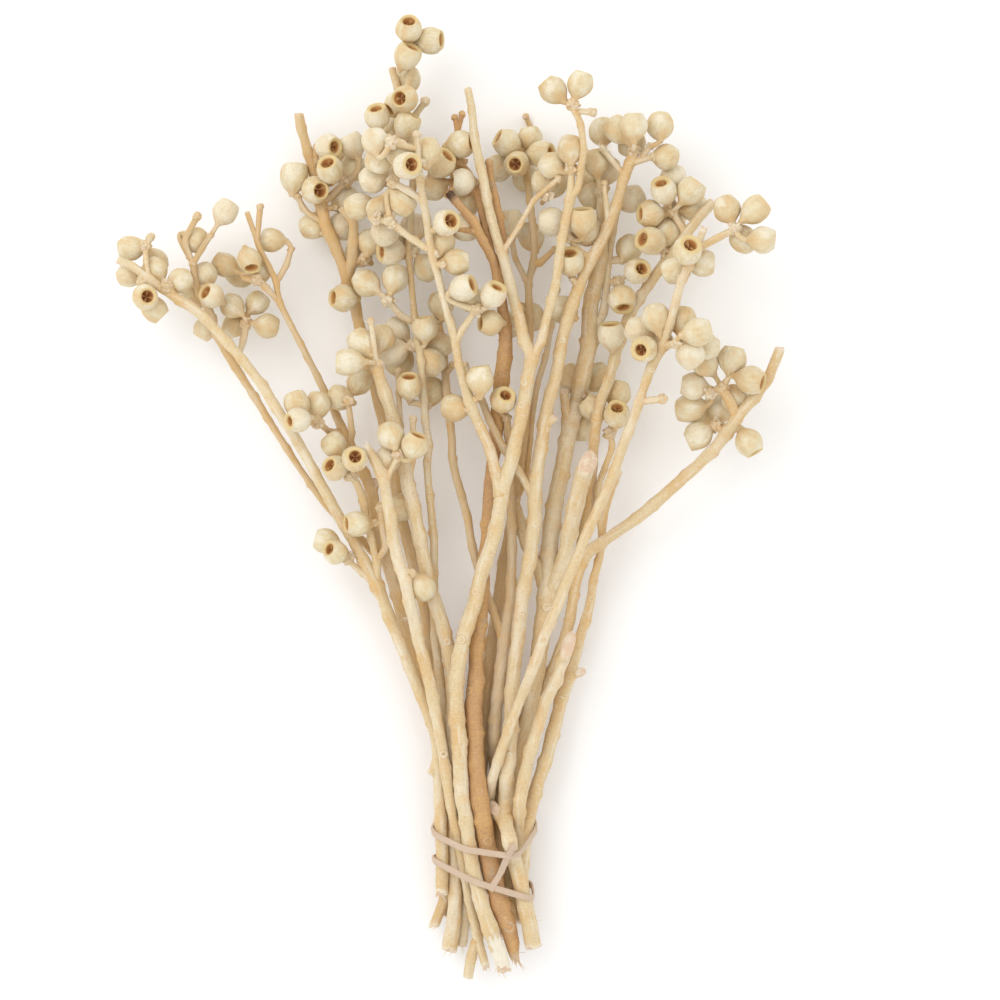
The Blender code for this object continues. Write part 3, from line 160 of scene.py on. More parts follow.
# Cut ends that show their face, by the last place of their shoot: (slope of the cut towards the viewer,
# height of its torn edge in millimetres).
CUT_ENDS = {
    (588, 463): (1.3, 0.2),
    (494, 808): (1.5, 0.2),
    (564, 391): (0.5, 0.2),
    (568, 645): (2.2, 0.2),
    (581, 672): (0.9, 0.2),
    (374, 483): (1.0, 0.2),
    (780, 349): (0.4, 0.4),
    (118, 260): (0.3, 0.5),
    (704, 228): (0.3, 1.4),
    (367, 448): (-0.4, 1.2),
}

# Leaf scars that show, by branch: (x, y, width in grid steps).
SCARS = {
    "left_front_branch": ((444, 752, 11), (400, 556, 7)),
    "centre_branch": ((475, 591, 9), (462, 637, 11), (479, 605, 7), (521, 405, 9), (523, 384, 10),
                      (481, 531, 9), (497, 475, 8), (496, 551, 8), (458, 718, 9)),
    "tall_branch": ((521, 617, 10), (536, 524, 10), (562, 339, 8), (551, 430, 7), (509, 752, 9)),
    "brown_branch": ((466, 690, 10), (509, 923, 16), (488, 838, 12), (468, 645, 8), (480, 790, 9)),
    "right_outer_branch": ((520, 912, 8), (640, 514, 8)),
    "right_front_branch": ((600, 506, 7), (650, 371, 8), (543, 638, 7)),
    "left_outer_branch": ((404, 656, 8), (431, 727, 8), (300, 446, 8)),
    "left_middle_branch": ((447, 640, 10), (419, 545, 8), (392, 418, 8)),
    "cut_fork_branch": ((531, 700, 8), (547, 606, 11), (569, 430, 9)),
    "right_back_branch": ((561, 700, 8), (592, 600, 7)),
}

# The feet: (slope of the cut, height of its torn edge), those of the other branches, and how many loose
# fibres each one has.
FEET = {
    "centre_branch": (0.5, 2.0),
    "left_back_branch": (-0.4, 1.4),
    "left_outer_branch": (0.3, 1.5),
    "brown_branch": (0.6, 2.4),
    "left_front_branch": (0.2, 1.3),
}
USUAL_FOOT = (0.2, 0.8)
FIBRES = 3

# How much of a foot has lost its bark, in millimetres, the twigs that swell to a stouter end, the branch
# with a burnt end, and the wisps of white fibre: (x, y, heading in degrees, 0 to the right and 90 up).
PEELED = {"centre_branch": 18.0}
STOUTER = {(468, 977): 1.5}
BURNT_BRANCH = "brown_branch"
WISPS = {
    "tall_branch": ((470, 92, 95), (472, 98, 20), (476, 118, 35)),
    "centre_branch": ((410, 160, 130), (418, 176, 320)),
    "left_middle_branch": ((420, 170, 200),),
    "slim_branch": ((394, 205, 60),),
    "brown_branch": ((518, 958, 300), (506, 948, 330)),
    "right_back_branch": ((538, 940, 20),),
}
WISP_FIBRES = 3

# The wood, in millimetres: spacing of its rings and of the points round them, of which there are at least so
# many and at most so many, how far its path's corners are blurred, the usual space between nodes, and how far
# they keep from its root and end. Its lumps are (share of its radius, wavelength), and the rings of a cut's
# face are shares of its radius.
WOOD_STEP = 1.3
SIDE_SPACING = 0.85
WOOD_SIDES = (10, 24)
WOOD_BLUR = 1.5
NODE_SPACING = 17.0
NODE_MARGINS = (3.0, 2.0)
WOOD_LUMPS = ((0.05, 13.0), (0.04, 4.5))
FACE_SHARES = np.array((0.985, 0.85, 0.6, 0.3))

# The least bend that makes a node, in degrees, the row past which twigs are feet, the share of nodes with a
# scar, and in millimetres the least radius of a stem with such scars, the greatest of a twig with a knob at
# its end, and the length of the shortest twig with nuts that is drawn.
LEAST_BEND = 6.0
FOOT_ROW = 900
SCAR_SHARE = 0.16
SCARRED_RADIUS = 1.6
KNOBBED_RADIUS = 1.9
SHORTEST_TWIG = 1.2

# The hub of a single nut over its twig's radius, and how near to a nut the stub of a fallen stalk may point,
# as the cosine of the angle between them.
SINGLE_HUB = 1.3
STUB_NEARNESS = 0.75

# The rings and sides of a leaf scar, a hub, a fallen stalk's stub and a fibre. A scar's rings are shares of
# its radius, and the stub's profile is (share of its length, share of its radius). Then the widths along a
# stalk over its usual width, and the radius of a fibre's root in millimetres.
SCAR_RINGS = np.array((0.04, 0.16, 0.3, 0.45, 0.58, 0.7, 0.82, 0.95, 1.1, 1.3, 1.3))
SCAR_SIDES = 18
KNOB_RINGS = 10
KNOB_SIDES = 14
PEG_PROFILE = np.array(((0.0, 1.0), (0.55, 0.85), (0.82, 1.15), (1.0, 1.25), (1.0, 0.8), (0.9, 0.35)))
PEG_SIDES = 9
FIBRE_RINGS = 7
FIBRE_SIDES = 4
STALK_WIDTHS = np.array((1.25, 1.05, 0.95, 0.92, 0.95, 1.0))
FIBRE_RADIUS = 0.34

# Every skin starts at its own place of the wood's pattern, this far off at most, so that no two are alike.
# Creases sharper than the angle stay sharp, and nothing sinks below the least height in metres.
PATTERN_SPREAD = 300.0
SHARP_ANGLE = 46.0
LEAST_HEIGHT = 0.00003

# Colours of the small marks in the finishes.
GREY_STAIN = (0.40, 0.345, 0.27)
BARK_SPECK = (0.46, 0.27, 0.12)
BARK_CREASE = (0.34, 0.18, 0.085)
FIBRE_SHADE = (0.42, 0.28, 0.15)
SHELL_SPECK = (0.42, 0.22, 0.09)
RIB_SHADE = (0.48, 0.34, 0.18)
PORE_SHADE = (0.45, 0.26, 0.14)
RUBBER_BLOOM = (0.66, 0.52, 0.39)
RUBBER_SHADE = (0.36, 0.24, 0.15)

# How far apart the seeds of two bunches are, and the band's place among a bunch's seeds, where the branches
# have the first ones.
SEED_STEP = 1000
BAND_ROW = 99

# The lamp's place beside the bunch and its height, in metres, and the camera's sensor in millimetres.
LAMP_ASIDE = (-0.9, 0.8)
LAMP_HEIGHT = 1.7
SENSOR_WIDTH = 36.0


def shoot(places, thick, rise=0.0, nuts=()):
    """One stem or twig: the places it passes, its widths, how far its end rises, and its nuts.

    A place is (x, y) on the grid, or (x, y, depth). The widths are in millimetres at even steps from the
    root to the end. A nut is (x, y, lean) or (x, y, lean, heading): the lean is the sine of its mouth's tilt
    to the viewer, 1 straight up, 0 level and -1 straight down, and the heading is the mouth's way seen from
    above, in degrees from the right, counted towards the top. Without a heading it faces away from its hub.
    """
    return {"places": places, "thick": thick, "rise": rise, "nuts": nuts}


# The shoots of each branch, each as the values that shoot takes: the main stem first, and a side shoot
# after the one that it grows on.
BRANCHES = {
    # The long front branch that arches out to the far left and ends in seven nuts.
    "left_outer_branch": [
        ([(442, 894, 1), (442, 850, 2), (440, 800), (439, 765, 4), (437, 742), (432, 722), (424, 702),
          (415, 680), (406, 658), (399, 640), (391, 622), (384, 602), (378, 587, 9), (369, 572),
          (360, 554), (350, 536), (338, 515), (328, 497), (318, 479), (308, 460), (297, 441, 10),
          (287, 424), (276, 408), (262, 385), (240, 357), (222, 337), (206, 319), (190, 306),
          (179, 300, 8), (163, 289), (151, 281), (133, 266), (118, 260, 6)],
         (6.1, 5.7, 5.6, 5.5, 4.9, 4.7, 4.7, 3.4)),
        ([(438, 762), (431, 774)], (4.6, 4.2)),
        ([(375, 584), (362, 573), (347, 559)], (3.0, 2.6), 2,
         [(335, 552, 0.75), (326, 541, -0.05, 165)]),
        ([(378, 585), (377, 565), (372, 540), (366, 518), (363, 500), (358, 485), (351, 476)],
         (3.6, 3.4), 4, [(355, 459, 0.97), (335, 468, 0.75), (334, 445, -0.2, 118)]),
        ([(377, 561), (386, 548), (382, 528), (380, 508)], (3.2, 3.2), 2),
        ([(382, 524), (374, 523)], (2.6, 2.6), 1, [(357, 524, 0.35, 180)]),
        ([(176, 298), (167, 286)], (3.4, 3.8), 1,
         [(155, 270, -0.4), (180, 281, -0.4), (154, 309, -0.1, 315)]),
        ([(151, 281), (143, 282)], (2.4, 2.6), 1, [(145, 297, 0.94, 5), (129, 275, -0.3, 200)]),
        ([(149, 279), (146, 260), (145, 246)], (2.4, 2.4), -1, [(131, 248, -0.3), (156, 261, -0.3)]),
        ([(145, 250), (150, 238)], (2.4, 3.2), 0),
    ],
    # The branch behind it, which forks low down and bears the nuts of the left side.
    "left_back_branch": [
        ([(434, 926, -5), (446, 896), (449, 850, -3), (446, 790), (438, 735), (424, 675), (412, 645),
          (404, 625), (401, 612), (397, 595), (391, 575), (386, 558, -2), (378, 530), (374, 505),
          (371, 490), (364, 473), (349, 444), (336, 415, -8), (317, 376), (300, 343), (279, 302, -14),
          (276, 281), (259, 247), (247, 212, -14)],
         (4.9, 5.2, 5.2, 5.4, 5.6, 4.8, 3.1, 2.7, 2.4)),
        ([(387, 555), (372, 552), (362, 540), (342, 522), (328, 508), (316, 492), (294, 460), (280, 438),
          (247, 385), (227, 354), (216, 334), (210, 312), (199, 292), (194, 278), (193, 264)],
         (3.6, 3.0, 3.2, 4.0, 3.0), -8),
        ([(193, 264), (202, 248), (211, 235)], (2.8, 2.6), 1, [(225, 212, -0.25, 60)]),
        ([(193, 264), (184, 241), (197, 217)], (2.4, 3.0), 1),
        ([(192, 265), (189, 256)], (2.4, 2.4), 0, [(196, 240, -0.2, 335)]),
        ([(198, 291), (203, 288)], (2.6, 2.6), 1, [(205, 275, -0.4, 110)]),
        ([(206, 303), (207, 301)], (2.6, 2.6), 0, [(195, 297, -0.4), (212, 296, 0.6, 150)]),
        ([(217, 336), (214, 330)], (2.6, 2.6), 0, [(205, 329, -0.1, 240)]),
        ([(236, 366), (244, 339), (246, 323)], (2.8, 3.2), -2,
         [(232, 306, -0.3, 140), (257, 303, -0.3, 50), (267, 326, -0.2, 350), (235, 325, -0.4, 220)]),
        ([(257, 242), (260, 208)], (2.4, 2.8), 1),
        ([(277, 283), (287, 264), (291, 250)], (2.8, 2.6), -4, [(272, 240, -0.1, 175)]),
        ([(278, 302), (265, 286), (256, 279)], (3.0, 3.2), 1,
         [(225, 265, -0.3, 150), (249, 260, 0.45, 290), (240, 275, -0.4), (257, 272, -0.3, 20)]),
        ([(343, 431), (331, 433), (317, 422)], (2.8, 3.0), 15,
         [(318, 405, -0.4), (297, 404, -0.1, 110), (298, 420, 0.55, 190)]),
        ([(350, 447), (352, 433), (348, 401)], (3.0, 3.0), 6,
         [(359, 383, -0.5), (340, 398, -0.3, 160)]),
        ([(372, 496), (374, 483)], (4.4, 4.6), 0),
        ([(402, 620), (405, 622)], (4.8, 4.8), 2),
    ],
    # The short branch in front on the left, with a torn double foot and a broken top.
    "left_front_branch": [
        ([(486, 967, 5), (478, 940), (474, 920), (469, 900), (466, 880), (462, 860), (458, 840, 6),
          (453, 816), (450, 800), (447, 780), (443, 752, 7), (437, 720), (433, 700), (429, 680),
          (424, 660), (418, 640), (414, 620, 12), (409, 600), (405, 580), (398, 560), (393, 540),
          (391, 520), (387, 500, 17), (384, 480), (376, 462), (367, 448, 18)],
         (3.6, 4.6, 4.4, 5.1, 5.3, 5.5, 5.4, 5.6, 4.2)),
        ([(476, 936), (471, 958), (468, 977)], (4.2, 3.4), -2),
        ([(401, 568), (412, 574)], (3.2, 3.0), 0, [(422, 587, -0.5)]),
        ([(384, 484), (391, 470), (398, 455)], (2.8, 2.6), 0, [(391, 436, -0.4), (415, 445, 0.4, 70)]),
        ([(381, 474), (385, 472)], (2.6, 2.6), 1, [(388, 459, -0.6, 80)]),
    ],
    # The shaded branch at the back on the left, with the nuts around its top.
    "left_crown_branch": [
        ([(446, 915, -8), (452, 880), (460, 850, -7), (455, 800), (447, 740), (437, 680), (428, 640),
          (425, 615), (420, 590), (413, 563), (407, 540, -13), (402, 520), (397, 495), (394, 478),
          (383, 420), (378, 400), (373, 380), (366, 355), (360, 330, -16), (355, 305), (349, 288),
          (344, 268), (337, 250), (329, 235), (323, 215), (320, 200), (314, 172), (307, 148),
          (301, 128), (299, 114, -12)], (5.2, 5.2, 5.2, 5.2, 5.2, 5.2, 5.4, 4.8, 4.4)),
        ([(348, 282), (352, 262), (353, 240), (354, 222), (342, 208)], (4.6, 4.6, 4.0), 2),
        ([(314, 174), (316, 147)], (2.4, 2.0), 0),
        ([(325, 223), (311, 216), (303, 208), (298, 197)], (2.6, 3.0), 1, [(294, 177, -0.1, 85)]),
        ([(320, 202), (317, 200)], (2.6, 2.6), 1, [(315, 190, 0.85, 350)]),
        ([(313, 168), (317, 160)], (2.4, 2.4), 2, [(328, 147, 0.7, 355)]),
        ([(318, 188), (330, 184)], (2.4, 2.4), 2, [(330, 170, 0.75, 110)]),
        ([(321, 204), (332, 195), (345, 182)], (3.2, 3.4), -2,
         [(352, 145, -0.05, 115), (353, 168, -0.4, 60), (340, 158, -0.4)]),
        ([(322, 210), (335, 207)], (2.4, 2.4), -1, [(345, 201, -0.5)]),
        ([(331, 242), (333, 236)], (2.4, 2.4), -1, [(341, 227, -0.4)]),
        ([(328, 234), (323, 233)], (2.4, 2.4), -1, [(314, 226, -0.4, 190)]),
        ([(352, 296), (356, 299)], (2.4, 2.4), 1, [(343, 298, 0.4, 180)]),
        ([(350, 264), (364, 258)], (2.8, 3.0), 0, [(370, 241, -0.3, 80), (359, 254, -0.4)]),
    ],
    # The thick pale branch that ends in three nuts beside the left crown.
    "left_middle_branch": [
        ([(449, 950, -1), (454, 920), (455, 900), (456, 860, 0), (453, 800), (453, 740), (453, 690),
          (451, 663, 3), (446, 640), (441, 620), (434, 600), (428, 580), (424, 560), (420, 540),
          (416, 520, 6), (413, 504), (408, 485), (404, 462), (400, 445), (393, 420), (387, 400),
          (380, 380), (376, 364, 8)],
         (7.4, 5.8, 5.6, 5.7, 6.2, 7.0, 6.2, 6.3, 6.2, 6.0, 5.4), 0,
         [(362, 344, -0.4, 130), (349, 362, -0.1, 180), (382, 338, -0.4)]),
        ([(377, 366), (374, 345), (371, 322)], (2.6, 2.6), 0),
        ([(412, 502), (409, 504)], (2.8, 2.8), 1, [(402, 507, -0.6, 230)]),
        ([(408, 485), (413, 460), (413, 420)], (3.0, 2.8), 0),
        ([(404, 456), (400, 425), (398, 372)], (2.8, 2.6), -4),
    ],
    # The slim branch that carries the highest column of nuts.
    "slim_branch": [
        ([(462, 946, -3), (465, 922), (466, 890), (467, 850, 0), (458, 790), (447, 732), (441, 686),
          (435, 640), (434, 600, -2), (434, 560), (434, 540), (432, 520), (430, 500), (428, 480),
          (427, 462), (429, 445), (425, 420), (424, 400), (422, 380), (421, 360), (418, 340, 0),
          (415, 320), (413, 300), (411, 280), (408, 251), (410, 225), (413, 186, -2), (412, 150),
          (405, 115), (398, 90), (392, 68, -2)], (4.7, 4.6, 4.4, 4.0, 3.7, 3.5, 3.0, 3.0, 3.6)),
        ([(413, 324), (400, 315), (388, 300)], (3.2, 3.0), 3, [(366, 283, -0.4), (395, 278, -0.3, 75)]),
        ([(417, 349), (413, 345)], (3.4, 3.6), 1,
         [(394, 352, -0.3), (397, 331, -0.3), (425, 328, 0.15, 90), (439, 345, -0.4), (431, 362, -0.3),
          (400, 362, -0.4)]),
        ([(424, 405), (411, 402)], (2.8, 2.8), 1, [(409, 386, 0.5, 90)]),
        ([(424, 403), (428, 406)], (2.8, 2.8), -1, [(431, 392, -0.4)]),
        ([(409, 257), (413, 252)], (3.0, 3.2), 0,
         [(391, 251, 0.45, 185), (414, 228, -0.5, 100), (427, 268, -0.4), (399, 248, -0.5, 150)]),
        ([(405, 115), (407, 90), (411, 66), (414, 52)], (3.0, 3.0), 0,
         [(409, 29, 0.75, 90), (430, 41, 0.3, 5), (407, 56, 0.35, 60)]),
        ([(404, 110), (404, 96)], (2.8, 2.8), 0,
         [(408, 80, -0.3, 80), (397, 105, 0.3, 215), (405, 99, 0.85, 180)]),
        ([(411, 142), (402, 137)], (2.8, 2.8), 2, [(407, 124, 0.25, 55), (397, 129, -0.3, 150)]),
        ([(411, 142), (392, 133)], (2.8, 2.8), 1, [(377, 117, 0.55, 95)]),
        ([(408, 128), (415, 115), (425, 102)], (2.4, 3.2), 2),
    ],
    # The thick branch in front that forks into three and reaches up through the middle.
    "centre_branch": [
        ([(504, 970, 7), (498, 950), (490, 928, 6), (481, 900), (473, 870), (470, 850, 8), (466, 820),
          (462, 798), (461, 780), (459, 740), (457, 720), (456, 700, 10), (456, 680), (459, 660),
          (463, 640), (469, 620), (475, 602), (480, 580), (486, 560), (493, 540), (498, 520, 12),
          (501, 500), (505, 480), (511, 462), (516, 440), (520, 425), (524, 400), (527, 380),
          (533, 357, 12), (524, 340), (520, 320), (514, 300), (509, 280), (504, 260), (497, 240),
          (492, 220), (487, 200), (484, 182), (480, 165), (474, 135), (472, 110), (468, 89, 8)],
         (7.4, 7.0, 6.4, 6.9, 7.2, 6.4, 6.4, 6.2, 5.4, 4.6, 4.2, 3.4)),
        ([(500, 500), (495, 470), (491, 452), (486, 440), (477, 420), (469, 400), (463, 380), (458, 360),
          (453, 330), (449, 320), (444, 300), (439, 280), (434, 262), (429, 240), (427, 220),
          (423, 200), (420, 180), (418, 160), (417, 135)],
         (5.4, 5.0, 4.8, 3.6, 3.5, 3.7, 3.4, 2.6), 5),
        ([(429, 252), (415, 241), (400, 230), (390, 221)], (3.4, 3.4), 3,
         [(379, 210, -0.4, 250), (402, 202, -0.35, 315)]),
        ([(391, 224), (376, 219)], (2.6, 2.8), -1, [(359, 206, -0.3, 195), (384, 232, -0.4)]),
        ([(422, 201), (407, 190), (393, 183)], (3.4, 3.2), 2,
         [(373, 179, -0.35, 195), (387, 172, -0.4)]),
        ([(418, 149), (391, 143)], (2.8, 3.0), 1,
         [(375, 141, -0.3, 100), (398, 152, -0.3, 310), (379, 159, -0.3, 250)]),
        ([(421, 178), (414, 172)], (2.8, 2.8), 1, [(407, 166, 0.9, 10)]),
        ([(420, 165), (423, 162)], (2.8, 2.8), 0, [(427, 151, -0.2, 90)]),
        ([(430, 258), (436, 254)], (2.8, 2.8), 1, [(441, 243, -0.6, 80)]),
        ([(427, 232), (437, 229)], (2.8, 2.8), 1, [(446, 223, 0.85, 20)]),
        ([(434, 265), (443, 264)], (2.8, 2.8), 0, [(457, 262, -0.05, 0)]),
        ([(456, 344), (462, 330), (476, 310)], (3.0, 3.2), 2,
         [(463, 288, 0.35, 20), (493, 295, 0.5, 60), (471, 300, -0.4)]),
        ([(473, 401), (480, 396)], (2.8, 2.8), 1, [(480, 379, 0.1, 90)]),
        ([(475, 409), (468, 410)], (2.8, 2.8), 1, [(455, 408, -0.4, 175)]),
        ([(533, 360), (542, 340), (546, 320), (551, 303), (556, 282), (559, 260), (562, 238), (570, 200),
          (572, 170)], (4.6, 4.0, 4.2, 4.0, 4.2, 3.0), -2,
         [(571, 149, -0.4, 90), (552, 166, -0.4, 150)]),
        ([(570, 200), (578, 188), (584, 150), (581, 124), (572, 105)], (3.2, 3.0), 2,
         [(553, 90, -0.1, 135), (580, 84, -0.1, 70)]),
        ([(575, 111), (592, 112)], (2.6, 3.2), 1),
        ([(509, 251), (518, 228), (534, 200), (558, 179)], (2.6, 2.4), -2),
        ([(543, 192), (547, 195)], (2.4, 2.4), 0, [(545, 184, -0.4, 100), (553, 184, -0.4, 60)]),
    ],
    # The orange-brown branch with a ringed knot near its foot and a burnt end.
    "brown_branch": [
        ([(515, 960, 4), (512, 942), (507, 922), (500, 905), (494, 883), (488, 852, 7), (483, 820),
          (479, 800), (477, 780), (476, 760), (475, 740), (474, 720), (473, 702, 5), (476, 680),
          (476, 660), (478, 640), (481, 610), (484, 560, 1), (487, 540), (488, 520), (489, 500),
          (491, 475), (495, 445), (497, 415), (502, 380), (504, 360), (506, 340, 1), (503, 310),
          (498, 280), (493, 258), (482, 240), (474, 222), (463, 210), (449, 193, 4)],
         (4.6, 8.8, 8.0, 8.4, 7.8, 8.4, 6.8, 6.4, 6.2, 5.9, 5.7, 6.3, 7.2, 5.6, 4.2, 4.0, 3.6)),
        ([(491, 256), (488, 238), (483, 220), (479, 200), (475, 185), (469, 173), (460, 163)],
         (3.6, 3.0), -3, [(441, 164, 0.4, 50), (461, 144, 0.35, 5)]),
        ([(477, 191), (472, 190)], (2.8, 2.8), 0, [(462, 182, 0.3, 180), (469, 200, -0.4)]),
        ([(452, 200), (448, 195)], (2.6, 2.6), 0, [(434, 187, -0.3, 200)]),
        ([(476, 232), (473, 231)], (2.6, 2.6), 1, [(465, 227, -0.2, 0)]),
        ([(503, 326), (505, 326)], (2.8, 2.8), 0, [(490, 323, 0.35, 180), (509, 325, -0.4)]),
        ([(460, 163), (458, 145), (458, 131), (455, 118)], (2.6, 2.6), 0),
        ([(458, 131), (462, 115)], (2.2, 2.4), 0),
        ([(498, 280), (504, 252), (500, 225), (495, 200), (491, 180), (489, 163)], (4.6, 4.4, 3.0), -3),
    ],
    # The tan branch behind it, with a slim side shoot; its bark is darker partly as painted shade.
    "thin_brown_branch": [
        ([(502, 936, 0), (500, 890), (500, 850, 0), (497, 790), (494, 740), (495, 720), (497, 700, -1),
          (502, 660), (504, 640), (507, 620), (510, 600), (511, 580), (512, 560), (512, 535),
          (511, 500, -5), (510, 455, -5), (508, 434), (507, 418, 5)],
         (5.0, 5.4, 6.0, 6.0, 5.6, 4.8, 4.2, 3.4), 0, [(503, 400, 0.85, 60)]),
        ([(503, 642), (497, 620), (488, 598), (476, 562), (471, 541), (468, 520), (463, 500),
          (457, 480), (452, 458), (452, 440), (450, 420), (447, 395), (445, 370), (444, 350),
          (438, 322)], (4.2, 4.0, 3.8, 3.7, 3.5, 3.2), -1, [(441, 305, -0.3, 95)]),
        ([(445, 375), (452, 366)], (2.4, 2.8), 0),
    ],
    # The tall branch that leans to the right and has a cut stub at the tie.
    "tall_branch": [
        ([(534, 947, 3), (528, 920), (523, 900), (520, 880), (514, 860, 6), (509, 840), (505, 820),
          (506, 800), (506, 780), (509, 760, 3), (510, 740), (511, 720), (512, 690), (515, 660),
          (518, 640), (520, 620), (522, 600), (525, 580, 3), (530, 560), (532, 540), (535, 520),
          (535, 500), (536, 480), (539, 460), (542, 440), (545, 420), (549, 400), (555, 380, 1),
          (559, 360), (562, 340), (567, 320), (573, 302), (582, 280), (589, 262), (597, 250),
          (603, 238), (611, 220), (618, 200), (623, 180), (630, 163), (634, 152, 2)],
         (7.8, 6.4, 7.2, 6.2, 6.4, 6.1, 5.6, 5.2, 4.4)),
        ([(506, 826), (499, 817), (494, 808)], (5.4, 4.8), 1),
        ([(533, 500), (524, 480), (516, 468), (504, 449), (489, 420), (482, 400), (474, 383),
          (465, 366)], (3.8, 3.4), -1),
        ([(625, 176), (603, 149)], (2.8, 3.0), -1, [(602, 132, -0.4, 95)]),
        ([(630, 163), (652, 157)], (2.8, 3.0), 1, [(666, 157, -0.4, 0)]),
        ([(640, 160), (650, 146)], (2.6, 2.8), 0, [(660, 126, -0.4, 90)]),
        ([(632, 157), (634, 150)], (3.0, 3.2), 0,
         [(634, 126, -0.1, 90), (618, 130, -0.3), (632, 143, -0.4, 250)]),
        ([(592, 262), (575, 246), (568, 237)], (3.0, 3.2), 2,
         [(582, 221, 0.3, 90), (552, 222, -0.1, 175), (587, 232, -0.4)]),
        ([(608, 226), (604, 184)], (2.6, 2.4), 2),
        ([(547, 425), (555, 417)], (4.6, 4.0), 1),
        ([(581, 288), (573, 279)], (2.8, 2.8), 1, [(570, 262, 0.6, 95)]),
        ([(571, 312), (568, 313)], (2.6, 2.6), -1, [(564, 310, -0.4)]),
    ],
    # The thick branch with one fork sawn off square, and nuts on the other.
    "cut_fork_branch": [
        ([(531, 925, -4), (523, 890), (515, 850, -2), (512, 800), (515, 759, 0), (521, 738), (526, 720),
          (532, 700), (536, 680), (539, 655), (543, 625), (546, 600), (548, 580, -3), (549, 555),
          (551, 530), (556, 500), (560, 480), (564, 460), (567, 440), (571, 420), (578, 400, -8),
          (582, 380), (586, 360), (590, 340), (590, 310), (592, 295), (597, 278), (601, 255),
          (603, 235), (600, 192, -8)], (6.0, 6.0, 6.2, 6.6, 8.2, 8.0, 7.8, 6.8, 7.8, 6.0, 3.6), 0,
         [(595, 162, -0.1, 100), (592, 182, -0.4), (607, 171, -0.3), (593, 196, -0.3)]),
        ([(549, 598), (556, 578), (565, 558), (568, 540), (572, 520), (577, 500), (581, 482),
          (588, 463)], (7.0, 6.6, 7.4, 8.0), 13),
        ([(566, 425), (566, 410), (564, 391)], (4.4, 4.4), 1),
        ([(588, 338), (597, 325), (604, 312), (606, 290), (608, 262), (612, 238), (617, 210)],
         (4.6, 3.4, 2.8), 1, [(631, 199, -0.3, 30)]),
        ([(609, 262), (616, 260)], (2.8, 2.8), 1, [(629, 249, -0.4, 60)]),
        ([(608, 282), (618, 282)], (2.8, 3.0), 1, [(637, 271, 0.85, 20), (622, 299, 0.5, 278)]),
        ([(578, 394), (583, 393)], (3.4, 3.6), 1,
         [(571, 379, -0.3, 120), (598, 378, -0.3, 45), (592, 407, 0.1, 140)]),
        ([(571, 412), (577, 413)], (2.6, 2.6), 0, [(584, 428, -0.2, 270)]),
        ([(546, 592), (537, 565), (527, 545), (519, 520), (513, 500)], (6.0, 5.6), -4),
    ],
    # The straight pale branch in front on the right, with three groups of nuts.
    "right_front_branch": [
        ([(496, 925, 0), (491, 890), (488, 850, 0), (487, 820), (489, 800, 3), (492, 780), (498, 760),
          (505, 740, 10), (512, 720), (520, 700), (528, 680), (536, 660), (543, 640), (552, 618, 16),
          (560, 600), (567, 580), (576, 560), (584, 540), (593, 520), (602, 500), (611, 480),
          (618, 460), (625, 440), (633, 420), (640, 400, 18), (646, 380), (652, 366), (662, 348),
          (670, 325), (676, 300), (682, 280), (690, 262), (699, 242), (704, 228, 12)],
         (5.0, 5.0, 4.9, 4.9, 4.9, 4.9, 4.8, 4.2, 3.8, 3.2)),
        ([(664, 345), (665, 340)], (3.0, 3.2), 0,
         [(656, 318, -0.3, 100), (657, 340, -0.4, 170), (644, 349, 0.93, 200), (640, 331, -0.3)]),
        ([(664, 346), (678, 343)], (3.4, 3.6), 1,
         [(683, 321, -0.3, 80), (698, 332, -0.1, 12), (690, 354, -0.3, 300), (706, 346, -0.3)]),
        ([(695, 251), (710, 242), (735, 229)], (3.6, 3.4), 0,
         [(727, 209, -0.35, 110), (755, 210, -0.1, 40), (763, 240, -0.1, 0), (743, 239, -0.4)]),
        ([(691, 261), (689, 258)], (2.6, 2.6), 0, [(687, 251, 0.8, 60)]),
        ([(688, 267), (691, 267)], (2.6, 2.6), 0, [(702, 263, -0.1, 0)]),
        ([(683, 278), (681, 277)], (2.6, 2.6), 0, [(677, 270, -0.3, 200)]),
        ([(641, 402), (662, 399)], (3.0, 3.6), 1),
    ],
    # The branch that forks to the far right and to the crown of nuts above it.
    "right_outer_branch": [
        ([(520, 922, -16), (511, 882, -9), (505, 850, -7), (514, 790), (530, 735), (546, 685),
          (556, 660), (563, 642), (570, 620, -9), (573, 600), (576, 580), (582, 562), (590, 550),
          (601, 543), (620, 530), (640, 516, -4), (660, 499), (680, 481), (700, 463), (713, 451),
          (726, 434, 0), (737, 417), (755, 397), (768, 379), (780, 349, 2)],
         (5.0, 5.0, 4.9, 4.8, 4.7, 4.8, 5.2, 5.5, 5.5, 5.2, 4.7)),
        ([(573, 594), (578, 560), (582, 540), (586, 520), (590, 500), (591, 480), (593, 455),
          (594, 440), (597, 420), (601, 400), (609, 380), (614, 360), (620, 340), (628, 318),
          (639, 298), (650, 283), (661, 268), (676, 250), (690, 229), (704, 211), (713, 202)],
         (4.8, 4.7, 4.7, 4.7, 5.0, 5.0, 4.6), 6),
        ([(738, 418), (731, 402), (722, 388)], (4.6, 4.4), 2,
         [(705, 363, 0.35, 128), (732, 359, -0.05, 80), (751, 380, 0.3, 345), (735, 398, -0.4)]),
        ([(722, 388), (710, 393)], (3.2, 3.2), 0, [(693, 386, -0.05, 172), (690, 408, -0.3, 190)]),
        ([(727, 433), (716, 426)], (3.0, 3.2), 1,
         [(698, 435, -0.05, 215), (721, 409, -0.4), (707, 414, -0.4, 250)]),
        ([(729, 430), (738, 428)], (3.0, 3.0), 0, [(749, 443, 0.15, 300)]),
        ([(686, 234), (680, 224), (672, 211)], (3.2, 3.4), 1,
